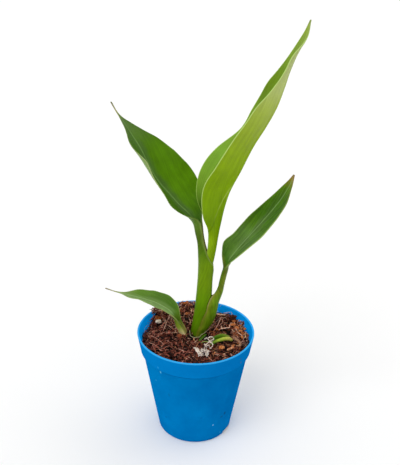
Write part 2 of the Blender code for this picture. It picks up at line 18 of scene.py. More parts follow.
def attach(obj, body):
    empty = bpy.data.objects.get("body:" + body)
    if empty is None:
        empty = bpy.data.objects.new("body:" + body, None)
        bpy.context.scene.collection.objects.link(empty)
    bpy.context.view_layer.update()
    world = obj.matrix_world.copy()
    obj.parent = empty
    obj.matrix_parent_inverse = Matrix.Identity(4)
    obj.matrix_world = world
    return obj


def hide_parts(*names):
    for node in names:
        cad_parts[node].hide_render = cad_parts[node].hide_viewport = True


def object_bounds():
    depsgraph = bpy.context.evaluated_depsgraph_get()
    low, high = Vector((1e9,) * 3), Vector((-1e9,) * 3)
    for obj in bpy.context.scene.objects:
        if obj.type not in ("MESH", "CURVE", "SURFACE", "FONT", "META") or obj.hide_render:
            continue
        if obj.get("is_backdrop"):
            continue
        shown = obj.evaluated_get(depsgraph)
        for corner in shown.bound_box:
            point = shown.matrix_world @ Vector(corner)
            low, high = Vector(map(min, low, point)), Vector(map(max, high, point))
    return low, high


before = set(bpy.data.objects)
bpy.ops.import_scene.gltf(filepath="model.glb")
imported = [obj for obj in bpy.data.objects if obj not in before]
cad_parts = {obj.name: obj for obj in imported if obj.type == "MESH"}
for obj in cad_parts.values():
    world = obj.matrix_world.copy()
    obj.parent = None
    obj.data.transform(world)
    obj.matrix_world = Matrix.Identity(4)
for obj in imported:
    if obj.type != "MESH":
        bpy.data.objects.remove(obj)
CAD_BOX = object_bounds()

MM = 0.001
BODY = "root"
# Where nearly all of a noise lies
NOISE_SPAN = (0.3, 0.7)

# The camera looks down on the pot from the front, and the picture's right side hangs a little
CAMERA_PLACE = (1.3, -294.5, 246.1)
CAMERA_PITCH = 24.5
CAMERA_ROLL = 0.96
CAMERA_NEAREST = 0.01
PICTURE_SIZE = (400, 465)
FOCAL_PIXELS = 674.0
SENSOR = 36.0

# The stage, in metres: a wide floor just under the pot, and its pale finish
FLOOR_REACH = 6.0
FLOOR_DROP = 0.00005
FLOOR_COLOUR = (0.93, 0.93, 0.93, 1.0)
FLOOR_FINISH = (0.8, 0.1)
STUDIO_COLOUR = (1.0, 1.0, 1.0, 1.0)
STUDIO_STRENGTH = 0.80

# Lamps: the way towards each, its strength, its breadth in degrees and its colour
LAMPS = {
    "key": ((-0.5, -0.6, 1.0), 0.9, 40, (1.0, 0.99, 0.97)),
    "fill": ((0.8, 0.5, 0.9), 0.4, 60, (0.97, 0.98, 1.0)),
}

# The pot's section, with small rounds at its corners
INSIDE_HEIGHTS = (1.2, 47.2, 48.1, 57.0)
INSIDE_RADII = (18.8, 26.35, 27.6, 29.1)
GAP = 0.3
FLOOR = 1.2
RIM_RADIUS = 30.0
POT_HEIGHT = 57.0
BAND_RADIUS = 28.4
BAND_BOTTOM = 47.2
BAND_ROUND = 0.35
BODY_RADIUS = 27.2
BODY_TOP = 46.4
BODY_CORNER = ((0.25, 0.1), (0.0, -0.25))
BASE_RADIUS = 19.4
BASE_ROUND = 1.0
FLOOR_FILLET = 1.0
# Arcs of the section: the first and last angle in degrees, and the steps between
LIP_ARC = (180, 0, 12)
BAND_ARC = (10, -80, 5)
BASE_ARC = (0, -90, 6)
WALL = 0.9
POT_SIDES = 180
DRAIN_ANGLES = (60.0, 240.0)
DRAIN_WIDTH = 6.0
DRAIN_HEIGHT = 1.8
DRAIN_DEPTH = 5.0
SHARP_ANGLE = 35.0
PLASTIC = (0.45, 0.0)

# The pot's blues, with painted light and shade from its left to its right, the colours that come in
# over heights (the band, a painted highlight on the lip, and a painted shadow on the ledge under
# the band, which ends again), the dust, and the faint relief: the scales of its noises, then its
# depth and strength
BLUES = ((0.25, "0069ad"), (0.5, "0072b6"), (0.75, "007bc0"))
CLOUD_SCALE = 0.07
PAINTED_SIDE_SHADE = (-24.0, 26.0, -0.15, 0.15)
BAND_HEIGHTS = (46.0, 48.0, 0.0, 0.5)
BAND_BLUE = "0376c0"
LIP_HIGHLIGHT_HEIGHTS = (56.2, 56.7, 0.0, 0.8)
LIP_HIGHLIGHT_BLUE = "3aaef0"
LEDGE_SHADOW_STARTS = (46.0, 46.5)
LEDGE_SHADOW_ENDS = (47.3, 47.6, 0.6, 0.0)
LEDGE_SHADOW_BLUE = "05528c"
DUST_NOISE = (1.3, 4.0)
DUST = (0.72, 0.80, 0.0, 0.25)
DUST_BLUE = "2a8cc4"
FINE_WAVES = 2.2
SLOW_WAVES = (0.3, 2.0)
PLASTIC_RELIEF = (0.03, 0.5)
MARK_NOISE = (2.5, 2.0)
MARK_EDGE = (0.9, 1.7)
# The way the band's inside widens upwards, its radius taken down to the base, how far out and
# over which heights the painted glow fades, and the painted glow itself, which lights the band's
# shaded inside as if through the wall, as linear light
BAND_SLOPE = 0.1685
INNER_FACE = 19.7
INNER_FADE = 0.35
GLOW_HEIGHTS = (47.0, 48.5)
GLOW_PATCHES = 0.35
GLOW_SPREAD = (0.7, 1.2)
PAINTED_WALL_GLOW = (0.0, 0.12, 0.34, 1.0)
BLACK = (0.0, 0.0, 0.0, 1.0)

# The mix's surface.  Rises and the hollow before the stem: centre, height, reach
SOIL_LEVEL = 51.0
MOUNDS = (
    (-7.0, 27.0, 5.3, 8.5),
    (-20.5, 20.0, 5.5, 5.0),
    (20.0, 19.0, 2.3, 7.0),
    (5.0, 4.5, -1.6, 5.0),
)
# Bumps: their height, the layer of noise they come from, and their size
LUMPS = (0.9, 0.0, 4.5)
SMALL_LUMPS = (0.45, 0.0, 2.1)
BED_BUMPS = (0.6, 3.0, 0.9)
CLUMPS = (1.1, 5.0, 3.2)
DRY_PATCHES = (0.12, 9.0, 5.0)

# A leaf is lofted over stations along its midrib: the place, then each half's width, the lift of
# its chord above the level across the midrib, its curl, and the thickness at midrib and margin.
# The near half faces the front.  A curl of 170 degrees closes the foot into a sheath.  Where the
# halves are alike, the far one isn't written again.
Station = namedtuple(
    "Station",
    "x y z near near_lift near_curl far far_lift far_curl back edge",
)

TALL_LEAF = (
    (1.2, 7.8, 39.3, 0.9, 60, 120, 1.1, 0.8),
    (1.2, 7.8, 50.2, 0.9, 60, 120, 1.1, 0.8),
    (2.0, 8.1, 53.6, 1.0, 60, 120, 1.3, 1.0),
    (2.9, 8.8, 57.0, 1.15, 60, 120, 1.7, 1.4),
    (3.8, 9.2, 62.0, 1.2, 60, 120, 1.8, 1.5),
    (4.4, 9.1, 74.0, 1.2, 60, 120, 1.7, 1.4),
    (5.4, 8.9, 86.0, 1.4, 60, 120, 1.7, 1.4),
    (6.7, 8.8, 92.0, 1.9, 60, 120, 1.7, 1.4),
    (7.6, 8.6, 98.0, 2.5, 60, 120, 2.0, 60, 120, 1.8, 1.5),
    (8.5, 8.0, 105.5, 3.1, 60, 120, 2.4, 60, 120, 1.8, 1.5),
    (9.5, 7.1, 112.0, 6.0, 50, 80, 5.2, 76, 80, 1.7, 1.1),
    (11.0, 6.0, 119.4, 11.2, 45, 40, 11.5, 80, 40, 1.6, 0.7),
    (14.3, 4.2, 131.5, 14.9, 54, 30, 17.4, 66, 30, 1.3, 0.6),
    (19.2, 2.2, 143.1, 15.8, 49, 25, 18.5, 45, 25, 1.2, 0.6),
    (24.5, 1.0, 155.6, 16.3, 42, 20, 17.0, 21, 20, 1.1, 0.6),
    (29.6, 0.3, 164.8, 15.7, 41, 20, 15.7, 25, 20, 1.0, 0.6),
    (33.8, 0.0, 173.5, 14.2, 41, 20, 13.6, 29, 20, 0.9, 0.6),
    (36.7, 0.3, 182.4, 9.9, 34, 20, 10.7, 30, 20, 0.8, 0.6),
    (38.5, 0.8, 188.8, 8.8, 24, 15, 9.2, 16, 15, 0.8, 0.6),
    (40.7, 1.5, 194.6, 8.0, 22, 15, 7.6, 8, 15, 0.7, 0.6),
    (45.2, 3.0, 204.2, 4.0, 5, 15, 4.0, 8, 15, 0.6, 0.6),
    (46.6, 4.0, 210.4, 0.5, 5, 15, 0.6, 0.6),
)

LEFT_LEAF = (
    (-1.2, 7.8, 39.3, 6.4, 85, 170, 1.6, 0.7),
    (-1.2, 7.8, 50.2, 6.4, 85, 170, 1.6, 0.7),
    (-0.7, 8.1, 53.6, 7.7, 85, 170, 1.7, 0.7),
    (0.0, 8.8, 57.0, 8.9, 85, 170, 1.8, 0.7),
    (0.6, 9.2, 62.0, 9.3, 85, 170, 1.7, 0.7),
    (1.45, 9.1, 74.0, 9.2, 85, 170, 1.5, 0.7),
    (2.0, 8.9, 84.0, 8.8, 85, 170, 1.5, 0.7),
    (2.1, 8.9, 88.0, 8.8, 78, 156, 1.5, 0.7),
    (2.1, 8.8, 92.0, 7.4, 63, 126, 1.5, 0.7),
    (2.05, 8.8, 95.5, 5.0, 56, 112, 1.6, 0.9),
    (2.0, 8.8, 99.0, 2.9, 62, 124, 1.7, 1.1),
    (1.6, 8.8, 103.0, 1.8, 65, 130, 1.7, 1.3),
    (0.5, 8.9, 108.0, 2.2, 65, 130, 1.7, 1.3),
    (-0.8, 9.6, 112.6, 4.4, 46, 95, 4.2, 50, 90, 1.5, 0.9),
    (-3.6, 10.8, 116.6, 8.0, 8, 40, 9.0, 48, 50, 1.3, 0.6),
    (-8.6, 13.0, 120.7, 13.7, 3, 28, 15.5, 44, 30, 1.2, 0.6),
    (-14.0, 15.5, 125.8, 13.6, 8, 20, 17.7, 50, 25, 1.1, 0.6),
    (-19.5, 18.0, 131.3, 11.2, 12, 22, 17.6, 55, 25, 1.0, 0.6),
    (-24.8, 21.5, 139.4, 11.4, 16, 56, 15.5, 52, 25, 0.9, 0.6),
    (-29.3, 24.5, 147.4, 10.4, 0, 30, 11.9, 37, 20, 0.8, 0.6),
    (-33.0, 27.0, 152.2, 7.0, 2, 20, 8.5, 26, 20, 0.7, 0.6),
    (-36.0, 28.6, 156.6, 3.8, 3, 20, 5.0, 15, 20, 0.6, 0.6),
    (-39.4, 30.5, 161.0, 0.8, 3, 20, 0.8, 10, 20, 0.6, 0.6),
    (-43.2, 32.5, 166.9, 0.5, 3, 20, 0.6, 0.6),
)

RIGHT_LEAF = (
    (4.2, 7.8, 39.3, 6.1, 53, 107, 1.0, 0.7),
    (4.2, 7.8, 50.4, 6.1, 53, 107, 1.0, 0.7),
    (4.9, 8.0, 52.6, 6.6, 53, 107, 1.0, 0.7),
    (6.5, 8.3, 54.8, 7.6, 53, 107, 1.1, 0.7),
    (7.8, 8.8, 56.8, 8.3, 53, 107, 1.2, 0.7),
    (8.7, 9.2, 59.2, 8.6, 53, 107, 1.3, 0.7),
    (9.9, 9.2, 64.5, 7.0, 48, 96, 1.3, 0.7),
    (10.6, 8.9, 69.0, 6.5, 49, 98, 5.0, 49, 98, 1.3, 0.7),
    (11.4, 8.7, 72.0, 4.9, 58, 112, 2.4, 58, 112, 1.4, 0.8),
    (12.1, 8.4, 75.0, 2.9, 59, 116, 1.3, 59, 116, 1.5, 1.0),
    (12.6, 8.1, 78.5, 1.5, 60, 120, 1.2, 60, 120, 1.5, 1.1),
    (13.8, 7.5, 85.0, 1.3, 60, 120, 1.2, 60, 120, 1.4, 1.1),
    (14.6, 7.1, 88.6, 2.1, 42, 95, 2.0, 48, 100, 1.3, 0.9),
    (15.2, 7.1, 91.75, 3.2, 12, 60, 3.6, 45, 60, 1.2, 0.6),
    (16.4, 7.4, 94.55, 5.2, 2, 30, 7.5, 27, 20, 1.1, 0.6),
    (18.25, 8.2, 97.05, 7.5, 1, 20, 9.5, 30, 20, 1.1, 0.6),
    (23.05, 10.5, 102.65, 9.5, -5, 15, 11.0, 17, 15, 1.0, 0.6),
    (27.55, 12.8, 107.05, 10.0, -9, 15, 11.0, 18, 15, 0.9, 0.6),
    (31.65, 15.0, 111.15, 9.5, -10, 15, 10.5, 20, 15, 0.9, 0.6),
    (36.45, 17.8, 116.05, 8.5, -11, 15, 9.0, 20, 15, 0.8, 0.6),
    (41.5, 20.3, 122.0, 6.9, -9, 15, 7.2, 17, 15, 0.7, 0.6),
    (45.0, 22.2, 127.5, 4.6, 0, 10, 4.8, 13, 10, 0.6, 0.6),
    (47.6, 24.0, 133.6, 0.7, 0, 10, 0.8, 5, 10, 0.6, 0.6),
)

LOW_LEAF = (
    (-6.1, 5.2, 44.3, 1.9, 50, 100, 2.0, 1.4),
    (-6.2, 5.1, 51.0, 2.0, 50, 100, 2.1, 1.5),
    (-7.0, 4.9, 53.2, 2.0, 50, 100, 2.1, 1.5),
    (-8.8, 4.7, 57.2, 1.9, 45, 100, 1.9, 50, 100, 1.9, 1.2),
    (-10.9, 4.9, 61.6, 2.2, 15, 80, 3.4, 55, 60, 1.2, 0.6),
    (-13.4, 6.0, 64.5, 4.0, -2, 30, 6.0, 38, 40, 1.0, 0.6),
    (-17.0, 8.0, 65.9, 5.0, -5, 20, 7.0, 45, 30, 1.0, 0.6),
    (-21.8, 10.0, 67.4, 6.0, 0, 20, 7.0, 35, 25, 0.9, 0.6),
    (-26.3, 11.5, 68.0, 6.0, 5, 20, 7.0, 31, 20, 0.9, 0.6),
    (-30.2, 13.0, 68.3, 5.5, 4, 20, 6.0, 31, 20, 0.8, 0.6),
    (-35.0, 14.5, 68.7, 4.0, 0, 20, 4.0, 25, 20, 0.7, 0.6),
    (-39.4, 16.0, 69.0, 1.8, 6, 20, 0.6, 0.6),
    (-42.1, 17.0, 69.2, 0.5, 0, 10, 0.6, 0.6),
    (-48.4, 19.0, 70.2, 0.3, 0, 10, 0.6, 0.6),
)

# A leaf's stations, the way its upper face leans, the height up to which its rings stay level
# before they follow the midrib, and the station its blade starts from
LeafPlan = namedtuple("LeafPlan", "stations lean level blade_from")
LEAN_LEFT = (1.0, 0.0, 1.0)
LEAN_RIGHT = (-1.0, 0.0, 1.0)
LEVEL_HEIGHT = 58.0
LEVEL_BLEND = 8.0
UP = np.array((0.0, 0.0, 1.0))

# How finely the leaves are drawn
ROWS_BETWEEN = 11
HALF_COLUMNS = 20
# Between these curls, in degrees, a half turns from a solid stalk into a thin blade
SOLID_CURL = 70.0
THIN_CURL = 40.0
# How thick the blade is, and the width of a half from which its margin has a bead
BLADE = 0.26
WIDE_HALF = 3.0
# The midrib's ridge: its reach, what is added to it at the blade's foot, how far along that
# fades, and the share of its height that stays
RIB_REACH = 0.7
RIB_SPREAD = 3.6
RIB_FADE = 8.0
RIB_LEAST = 0.45
# The groove along the midrib's face and the bead at the margin: how deep or high, and their reach
GROOVE = 0.15
GROOVE_REACH = 0.5
BEAD = 0.16
BEAD_REACH = 0.35
# How a stalk thins towards its edges, and a sheath close to its margin
STALK_TAPER = 1.5
SHEATH_THINNING = 0.6
SHEATH_EDGE = 0.7
# Veins and pleats: how far apart, how they slant and bow towards the margin, how high, and where
# they die out
VEIN_SPACING = 2.6
VEIN_SLANT = 2.6
VEIN_BOW = 0.6
VEIN_HEIGHT = 0.018
PLEAT_SPACING = 9.0
PLEAT_HEIGHT = 0.10
FULL_RIPPLE = 6.0
RIPPLE_FADE = 0.7

# A leaf's skin.  The ramps run from foot to tip.  A tone is a colour and its share, and may have
# a reach: near is a painted tone on the upper face of the near half, painted shade on most leaves
# and painted light on the low one; glow is a painted sheen beside the midrib; sheath the thin
# margin of the foot.  Tip_glow is the row from which the painted sheen covers all.  The crease tone
# is painted shade and highlight along the fold where the thick foot of the midrib meets the
# blade's back: its rows, its reach at the first of them, and its share.  Mottle and streak are how
# much patches and veins vary.
Look = namedtuple(
    "Look",
    "upper back near glow tip_glow sheath rib rib_back margin margin_tone crease mottle streak",
)
LEAF_ROUGHNESS = 0.40
LEAF_GLOSS = 0.06
ROUGHER = (LEAF_ROUGHNESS - 0.05, LEAF_ROUGHNESS + 0.08)
LEAF_RELIEF = (0.06, 0.6)
# Noises on a leaf: broad patches, veins in its colour, and veins and cells in its relief
LEAF_PATCHES = 0.16
VEIN_LINES = (0.42, 4.0)
VEIN_RELIEF = 1.4
CELLS = (4.0, 2.0)
CELL_SHARE = 0.35
HALVES_MEET = (-0.3, 0.3)
# Rows over which the blade's colours come in, and over which those of its tip take over
BLADE_FADE = 0.06
NEAR_ENDS = (0.86, 0.94)
GLOW_ENDS = (0.80, 0.90)
TIP_FADE = 0.14
# The painted sheen, the paint of the midrib and the rim, the stretch of the soft bands of painted
# shade, and the fold of the crease's painted shade and highlight
GLOW_START = 2.0
GLOW_RAGGED = 4.0
RIB_PAINT = (0.12, 0.5)
RIM_START = 0.08
BAND_STRETCH = (0.55, 0.035, 3.0)
# The crease's colours: painted shade on its lower rows and a painted highlight above
FOLD_SHADE_AND_HIGHLIGHT = ((0.50, "567406"), (0.56, "b4c85c"))
FOLD_LEAST = 0.4
FOLD_EDGE = (0.05, 0.65)
FOLD_NARROWS = 0.05
FOLD_STARTS = 0.02
FOLD_ENDS = 0.03

TALL_LOOK = Look(
    # From 0.56 to 0.66 the far half is lightened with painted light where the near half shades it
    upper=(
        (0.0, "5f8a05"), (0.46, "3c6410"), (0.52, "4c7418"), (0.56, "7ca42e"), (0.61, "7fad34"),
        (0.66, "7da12f"), (0.76, "6c8c1c"), (0.86, "6a8c18"), (0.93, "7c9a2c"), (0.985, "8aa030"),
        (1.0, "3c3a2c"),
    ),
    back=(
        (0.0, "5f8406"), (0.30, "81a404"), (0.43, "7ea004"), (0.50, "6c9002"), (0.595, "7a9c02"),
        (0.65, "86a412"), (0.69, "8ba324"), (0.73, "96ab38"), (0.77, "a4b650"), (0.80, "a9b766"),
        (0.87, "a8b56a"), (0.95, "98a650"), (1.0, "3c3a2c"),
    ),
    near=("55801a", 0.3),
    glow=("78a23c", 0.3, 5.0),
    tip_glow=0.97,
    sheath=("8aa03a", 0.2, 0.8),
    rib=("a8c860", 0.5),
    rib_back="86a424",
    margin=((0.0, "7d9a1c"), (0.50, "8cab30"), (0.56, "b4d070"), (0.94, "b4cf78"), (1.0, "8a9a40")),
    margin_tone=(0.9, 0.42),
    crease=(0.46, 0.60, 4.8, 0.5),
    mottle=0.06,
    streak=0.07,
)

LEFT_LOOK = Look(
    upper=(
        (0.0, "4f7a08"), (0.50, "3c5f0c"), (0.57, "42681a"), (0.63, "4c7804"), (0.69, "568404"),
        (0.76, "528002"), (0.83, "4b7504"), (0.93, "57722a"), (0.955, "8c8c40"), (0.975, "a89a58"),
        (1.0, "6b5638"),
    ),
    back=(
        (0.0, "56780a"), (0.13, "5a8204"), (0.20, "628e04"), (0.245, "6a8c08"), (0.34, "668708"),
        (0.42, "4c6e0c"), (0.50, "48640c"), (0.60, "5c7f2c"), (0.72, "7f9f50"), (0.90, "7d9850"),
        (0.975, "8a7a4c"), (1.0, "6b5638"),
    ),
    near=("376208", 0.55),
    glow=("4c6c2e", 0.75, 4.0),
    tip_glow=0.80,
    sheath=("9aab5c", 0.5, 0.9),
    rib=("6f9648", 0.8),
    rib_back="6f8f3a",
    margin=(
        (0.0, "8a9a52"), (0.38, "8a9a52"), (0.44, "5f4a22"), (0.53, "6a6a30"), (0.58, "5c7a1c"),
        (0.68, "5f7c24"), (0.74, "a8b478"), (0.79, "a8b478"), (0.84, "5f7c24"), (0.93, "5f7c24"),
        (0.97, "b0a468"), (1.0, "6b5638"),
    ),
    margin_tone=(0.7, 0.35),
    crease=(0.55, 0.60, 1.5, 0.3),
    mottle=0.08,
    streak=0.08,
)

RIGHT_LOOK = Look(
    upper=(
        (0.0, "4f5f10"), (0.55, "46701a"), (0.62, "44701a"), (0.70, "5a822c"), (0.76, "5c8430"),
        (0.80, "4f7a0c"), (0.85, "3f6c00"), (0.90, "447004"), (0.95, "567f04"), (0.975, "8a8c10"),
        (0.99, "b08428"), (1.0, "a86a28"),
    ),
    back=(
        (0.0, "54700a"), (0.20, "5c7c0a"), (0.34, "688e10"), (0.40, "668a10"), (0.45, "527c08"),
        (0.55, "4a7010"), (0.62, "6f8f3c"), (0.90, "6f8f3c"), (0.985, "b08428"), (1.0, "a86a28"),
    ),
    near=("40691a", 0.45),
    glow=("5c7c38", 0.7, 4.0),
    tip_glow=0.99,
    sheath=("846a2c", 0.38, 3.0),
    rib=("84a862", 0.7),
    rib_back="7f9a4a",
    # From 0.60 to 0.84 the pale margin is a painted highlight on the curled margin
    margin=(
        (0.0, "5c7810"), (0.24, "6a6a1c"), (0.31, "9a8a58"), (0.37, "a89868"), (0.42, "56760c"),
        (0.56, "4e7410"), (0.60, "8aa850"), (0.72, "a4bc68"), (0.84, "9ab45c"), (0.95, "7a8a30"),
        (1.0, "7a5226"),
    ),
    margin_tone=(0.75, 0.7),
    crease=(0.55, 0.60, 1.5, 0.3),
    mottle=0.12,
    streak=0.15,
)

LOW_LOOK = Look(
    upper=(
        (0.0, "b08a58"), (0.16, "b0a858"), (0.26, "567214"), (0.38, "48701e"), (0.55, "527628"),
        (0.72, "5a7e2a"), (0.84, "86a04c"), (0.92, "9a9458"), (1.0, "8a6a4c"),
    ),
    # From 0.12 to 0.17 the foot's own pale tan is lightened further by a painted highlight
    back=(
        (0.0, "c49a68"), (0.12, "ecd8a8"), (0.17, "e0d488"), (0.22, "9cb038"), (0.29, "6a8a1c"),
        (0.42, "5f8038"), (0.80, "86a060"), (0.92, "9a9458"), (1.0, "8a6a4c"),
    ),
    near=("84a462", 0.8),
    glow=("6f8c4c", 0.6, 3.5),
    tip_glow=0.80,
    sheath=("a49a62", 0.15, 0.5),
    rib=("8fae6c", 0.7),
    rib_back="86a866",
    margin=(
        (0.0, "b08a58"), (0.14, "a8a050"), (0.24, "5a7818"), (0.36, "b0b070"), (0.50, "8aa458"),
        (0.90, "9aa460"), (1.0, "8a6a4c"),
    ),
    margin_tone=(0.8, 0.4),
    crease=(0.28, 0.38, 1.5, 0.3),
    mottle=0.08,
    streak=0.07,
)

# Marks on the pot's outside: place, reach, colour and share
MARKS = (
    ((15.6, -15.6, 16.6), (0.7, 0.7, 1.3), "153f66", 0.8),
    ((14.2, -16.8, 15.2), (1.3, 0.9, 0.6), "1a4a70", 0.65),
    ((9.7, -18.9, 11.3), (0.45, 0.45, 0.55), "8fc6e8", 0.9),
    ((-17.0, -21.1, 45.6), (0.5, 0.5, 1.0), "66c0e0", 0.8),
    ((-17.6, -21.6, 47.6), (0.5, 0.5, 0.5), "2f9fd4", 0.7),
    ((-18.1, -22.1, 49.2), (0.4, 0.4, 0.8), "40aadb", 0.6),
    ((-19.6, -16.5, 37.3), (0.45, 0.45, 0.45), "4aa8dc", 0.6),
    ((22.2, -19.0, 52.6), (0.7, 0.7, 0.55), "3d4a66", 0.8),
    ((22.6, -17.8, 49.9), (0.5, 0.5, 0.9), "5a5a66", 0.6),
    ((13.6, -14.3, 2.8), (0.5, 0.5, 0.4), "5ab4e6", 0.8),
    ((-14.8, -15.7, 13.4), (0.6, 0.6, 0.7), "0a5690", 0.6),
    ((3.4, -22.2, 18.5), (0.6, 0.6, 0.6), "065a9a", 0.6),
    ((-12.9, -21.2, 31.6), (0.6, 0.6, 1.5), "0a6096", 0.6),
)

# The mix: a near-black bed, painted shade in the gaps, below a loose cover of fibres, husk chips,
# chunks and pith crumbs.  Coir runs from brown to orange, with painted shade in its lows, and each
# loose piece keeps its own tint, rust and depth.
BED_DROP = 1.7
BED_SHOULDER = 46.0
BED_RINGS = 40
BED_SIDES = 144
BED_CORNER = 1.4
OWN = "tint_rust_depth"
COIR_BROWN = ((0.0, "0c0404"), (0.3, "2c0f0b"), (0.55, "6e3027"), (0.8, "ac6252"), (1.0, "e6bca6"))
COIR_ORANGE = ((0.0, "1a0a05"), (0.3, "4c2610"), (0.6, "965026"), (0.8, "c0743e"), (1.0, "e8bc8c"))
# The bed is near black: painted shade in the gaps of the loose cover
BED_SHADE_FINISH = (
    "coir_bed", (0.95, 0.05), (1.1, 5.0, 0.65),
    ((0.35, "040202"), (0.55, "0b0504"), (0.75, "1c0e0a")), 0.3,
)
PIT_STRENGTH = 0.8
COIR = (0.55, 0.12)
COIR_PATCHES = (0.9, 4.0)
COIR_PATCHY = 0.12
# Painted shade: loose pieces are darker the deeper they lie
COIR_DEPTH_SHADE = (0.0, 0.7, 1.1, 0.03)
COIR_GRAIN = 5.0
COIR_RELIEF = (0.08, 0.7)
COIR_SEED = 11
# What lies loose: the range of its heights and tints, the chance of rust, how many pieces, and how
# far they keep from the wall; the tufts have counts and places of their own.  A fibre or chip also
# has ranges of length and radius, how flat it is, how much it tilts, and its sides.
Kind = namedtuple("Kind", "name lift tint rust count margin", defaults=(0, 0.0))
Fibre = namedtuple("Fibre", "length radius flat tilt sides")
FIBRES = (
    (
        Kind("coir_fibres", (-1.4, 0.6), (0.0, 0.92), 0.14, 5600, 0.5),
        Fibre((1.8, 6.0), (0.09, 0.20), 0.8, 0.18, 4),
    ),
    (
        Kind("coir_strands", (-0.8, 0.7), (0.30, 0.90), 0.12, 700, 0.5),
        Fibre((4.0, 9.0), (0.12, 0.24), 0.7, 0.10, 5),
    ),
    (
        Kind("husk_chips", (-1.5, 0.4), (0.0, 0.85), 0.28, 2000, 0.5),
        Fibre((1.0, 3.0), (0.22, 0.60), 0.5, 0.40, 5),
    ),
    (
        Kind("coir_hairs", (0.1, 1.1), (0.85, 1.0), 0.0, 45, 0.5),
        Fibre((5.0, 13.0), (0.04, 0.07), 1.0, 0.10, 4),
    ),
)
CHUNKS = Kind("husk_chunks", (-0.9, 0.1), (0.15, 0.70), 0.4, 240, 1.5)
# Half sizes of a chunk, its roughness as heights and scales, and how it leans
CHUNK_SIZES = ((0.7, 2.0), (0.5, 1.1), (0.35, 0.8))
CHUNK_ROUGH = ((0.45, 1.3), (0.2, 4.0))
CHUNK_LEAN = 0.25
CHUNK_SHIFTS = (-50, 50)
CRUMBS = Kind("coir_crumbs", (-1.3, 0.1), (0.05, 0.65), 0.2, 3200, 0.4)
CRUMB_RADIUS = (0.22, 0.55)
CRUMB_KNOBS = (0.65, 1.3)
CRUMB_STRETCH = (0.7, 1.3)
# Pieces with flat faces
ANGULAR = ("husk_chips", CHUNKS.name, CRUMBS.name)
TUFT = Kind("coir_tufts", (-1.2, 0.9), (0.15, 0.95), 0.15)
TUFT_FIBRE = Fibre((1.5, 4.5), (0.09, 0.22), 0.8, 0.30, 5)
# How the colours of loose pieces vary: their contrast, drier towards the right and the back,
# rustier that way too, and darker with painted shade below a height
CONTRAST = 0.7
DRYNESS = 0.0035
LEFT_DRYNESS = 0.25
BACK_RUST = 0.5
RUST_REACH = 17.0
RUSTY = (0.6, 1.0)
PLAIN = (0.0, 0.25)
TOP_HEIGHT = 0.1
# How a loose piece lies: how closely it follows the mix, its bend, rows and sag, its distance from
# the wall up to over the rim, how uneven it is, and how far it rolls
CONFORM = 0.55
BEND = 0.10
FIBRE_STEP = 1.1
FIBRE_ROWS = 5
FIBRE_SAG = 1.2
WALL_CLEARANCE = 0.15
OVER_RIM = 57.3
UNEVEN = (0.65, 1.2)
ROLL = 0.3
# The same for the fibres that stand out, which have more rows between their places
LOOSE_UNEVEN = (0.75, 1.2)
LOOSE_FLAT = 0.85
LOOSE_SHARE = 4
LOOSE_SIDES = 6
TINY = 1e-9

# Loose tufts above the rim: place, height, reach and number of fibres
TUFTS = (
    (-21.8, 18.6, 57.3, 2.6, 110),
    (-17.8, 17.6, 57.6, 2.4, 60),
    (-6.0, 26.4, 56.9, 4.0, 90),
    (-1.5, 26.8, 56.7, 2.5, 40),
    (24.5, 12.6, 54.3, 1.2, 14),
)
# What the loose cover leaves in view: place, reach, and how high it may lie there
CLEARINGS = (
    (3.0, -12.0, 6.5, -0.1),
    (7.5, -6.0, 4.5, -0.1),
    (14.5, -3.0, 6.0, -0.1),
    (-19.9, 11.6, 2.8, -0.1),
    (21.0, -4.5, 2.5, -0.1),
    (1.0, 3.0, 3.6, -0.9),
    (5.0, 3.4, 3.4, -0.8),
    (-4.6, 5.0, 2.6, -0.5),
)
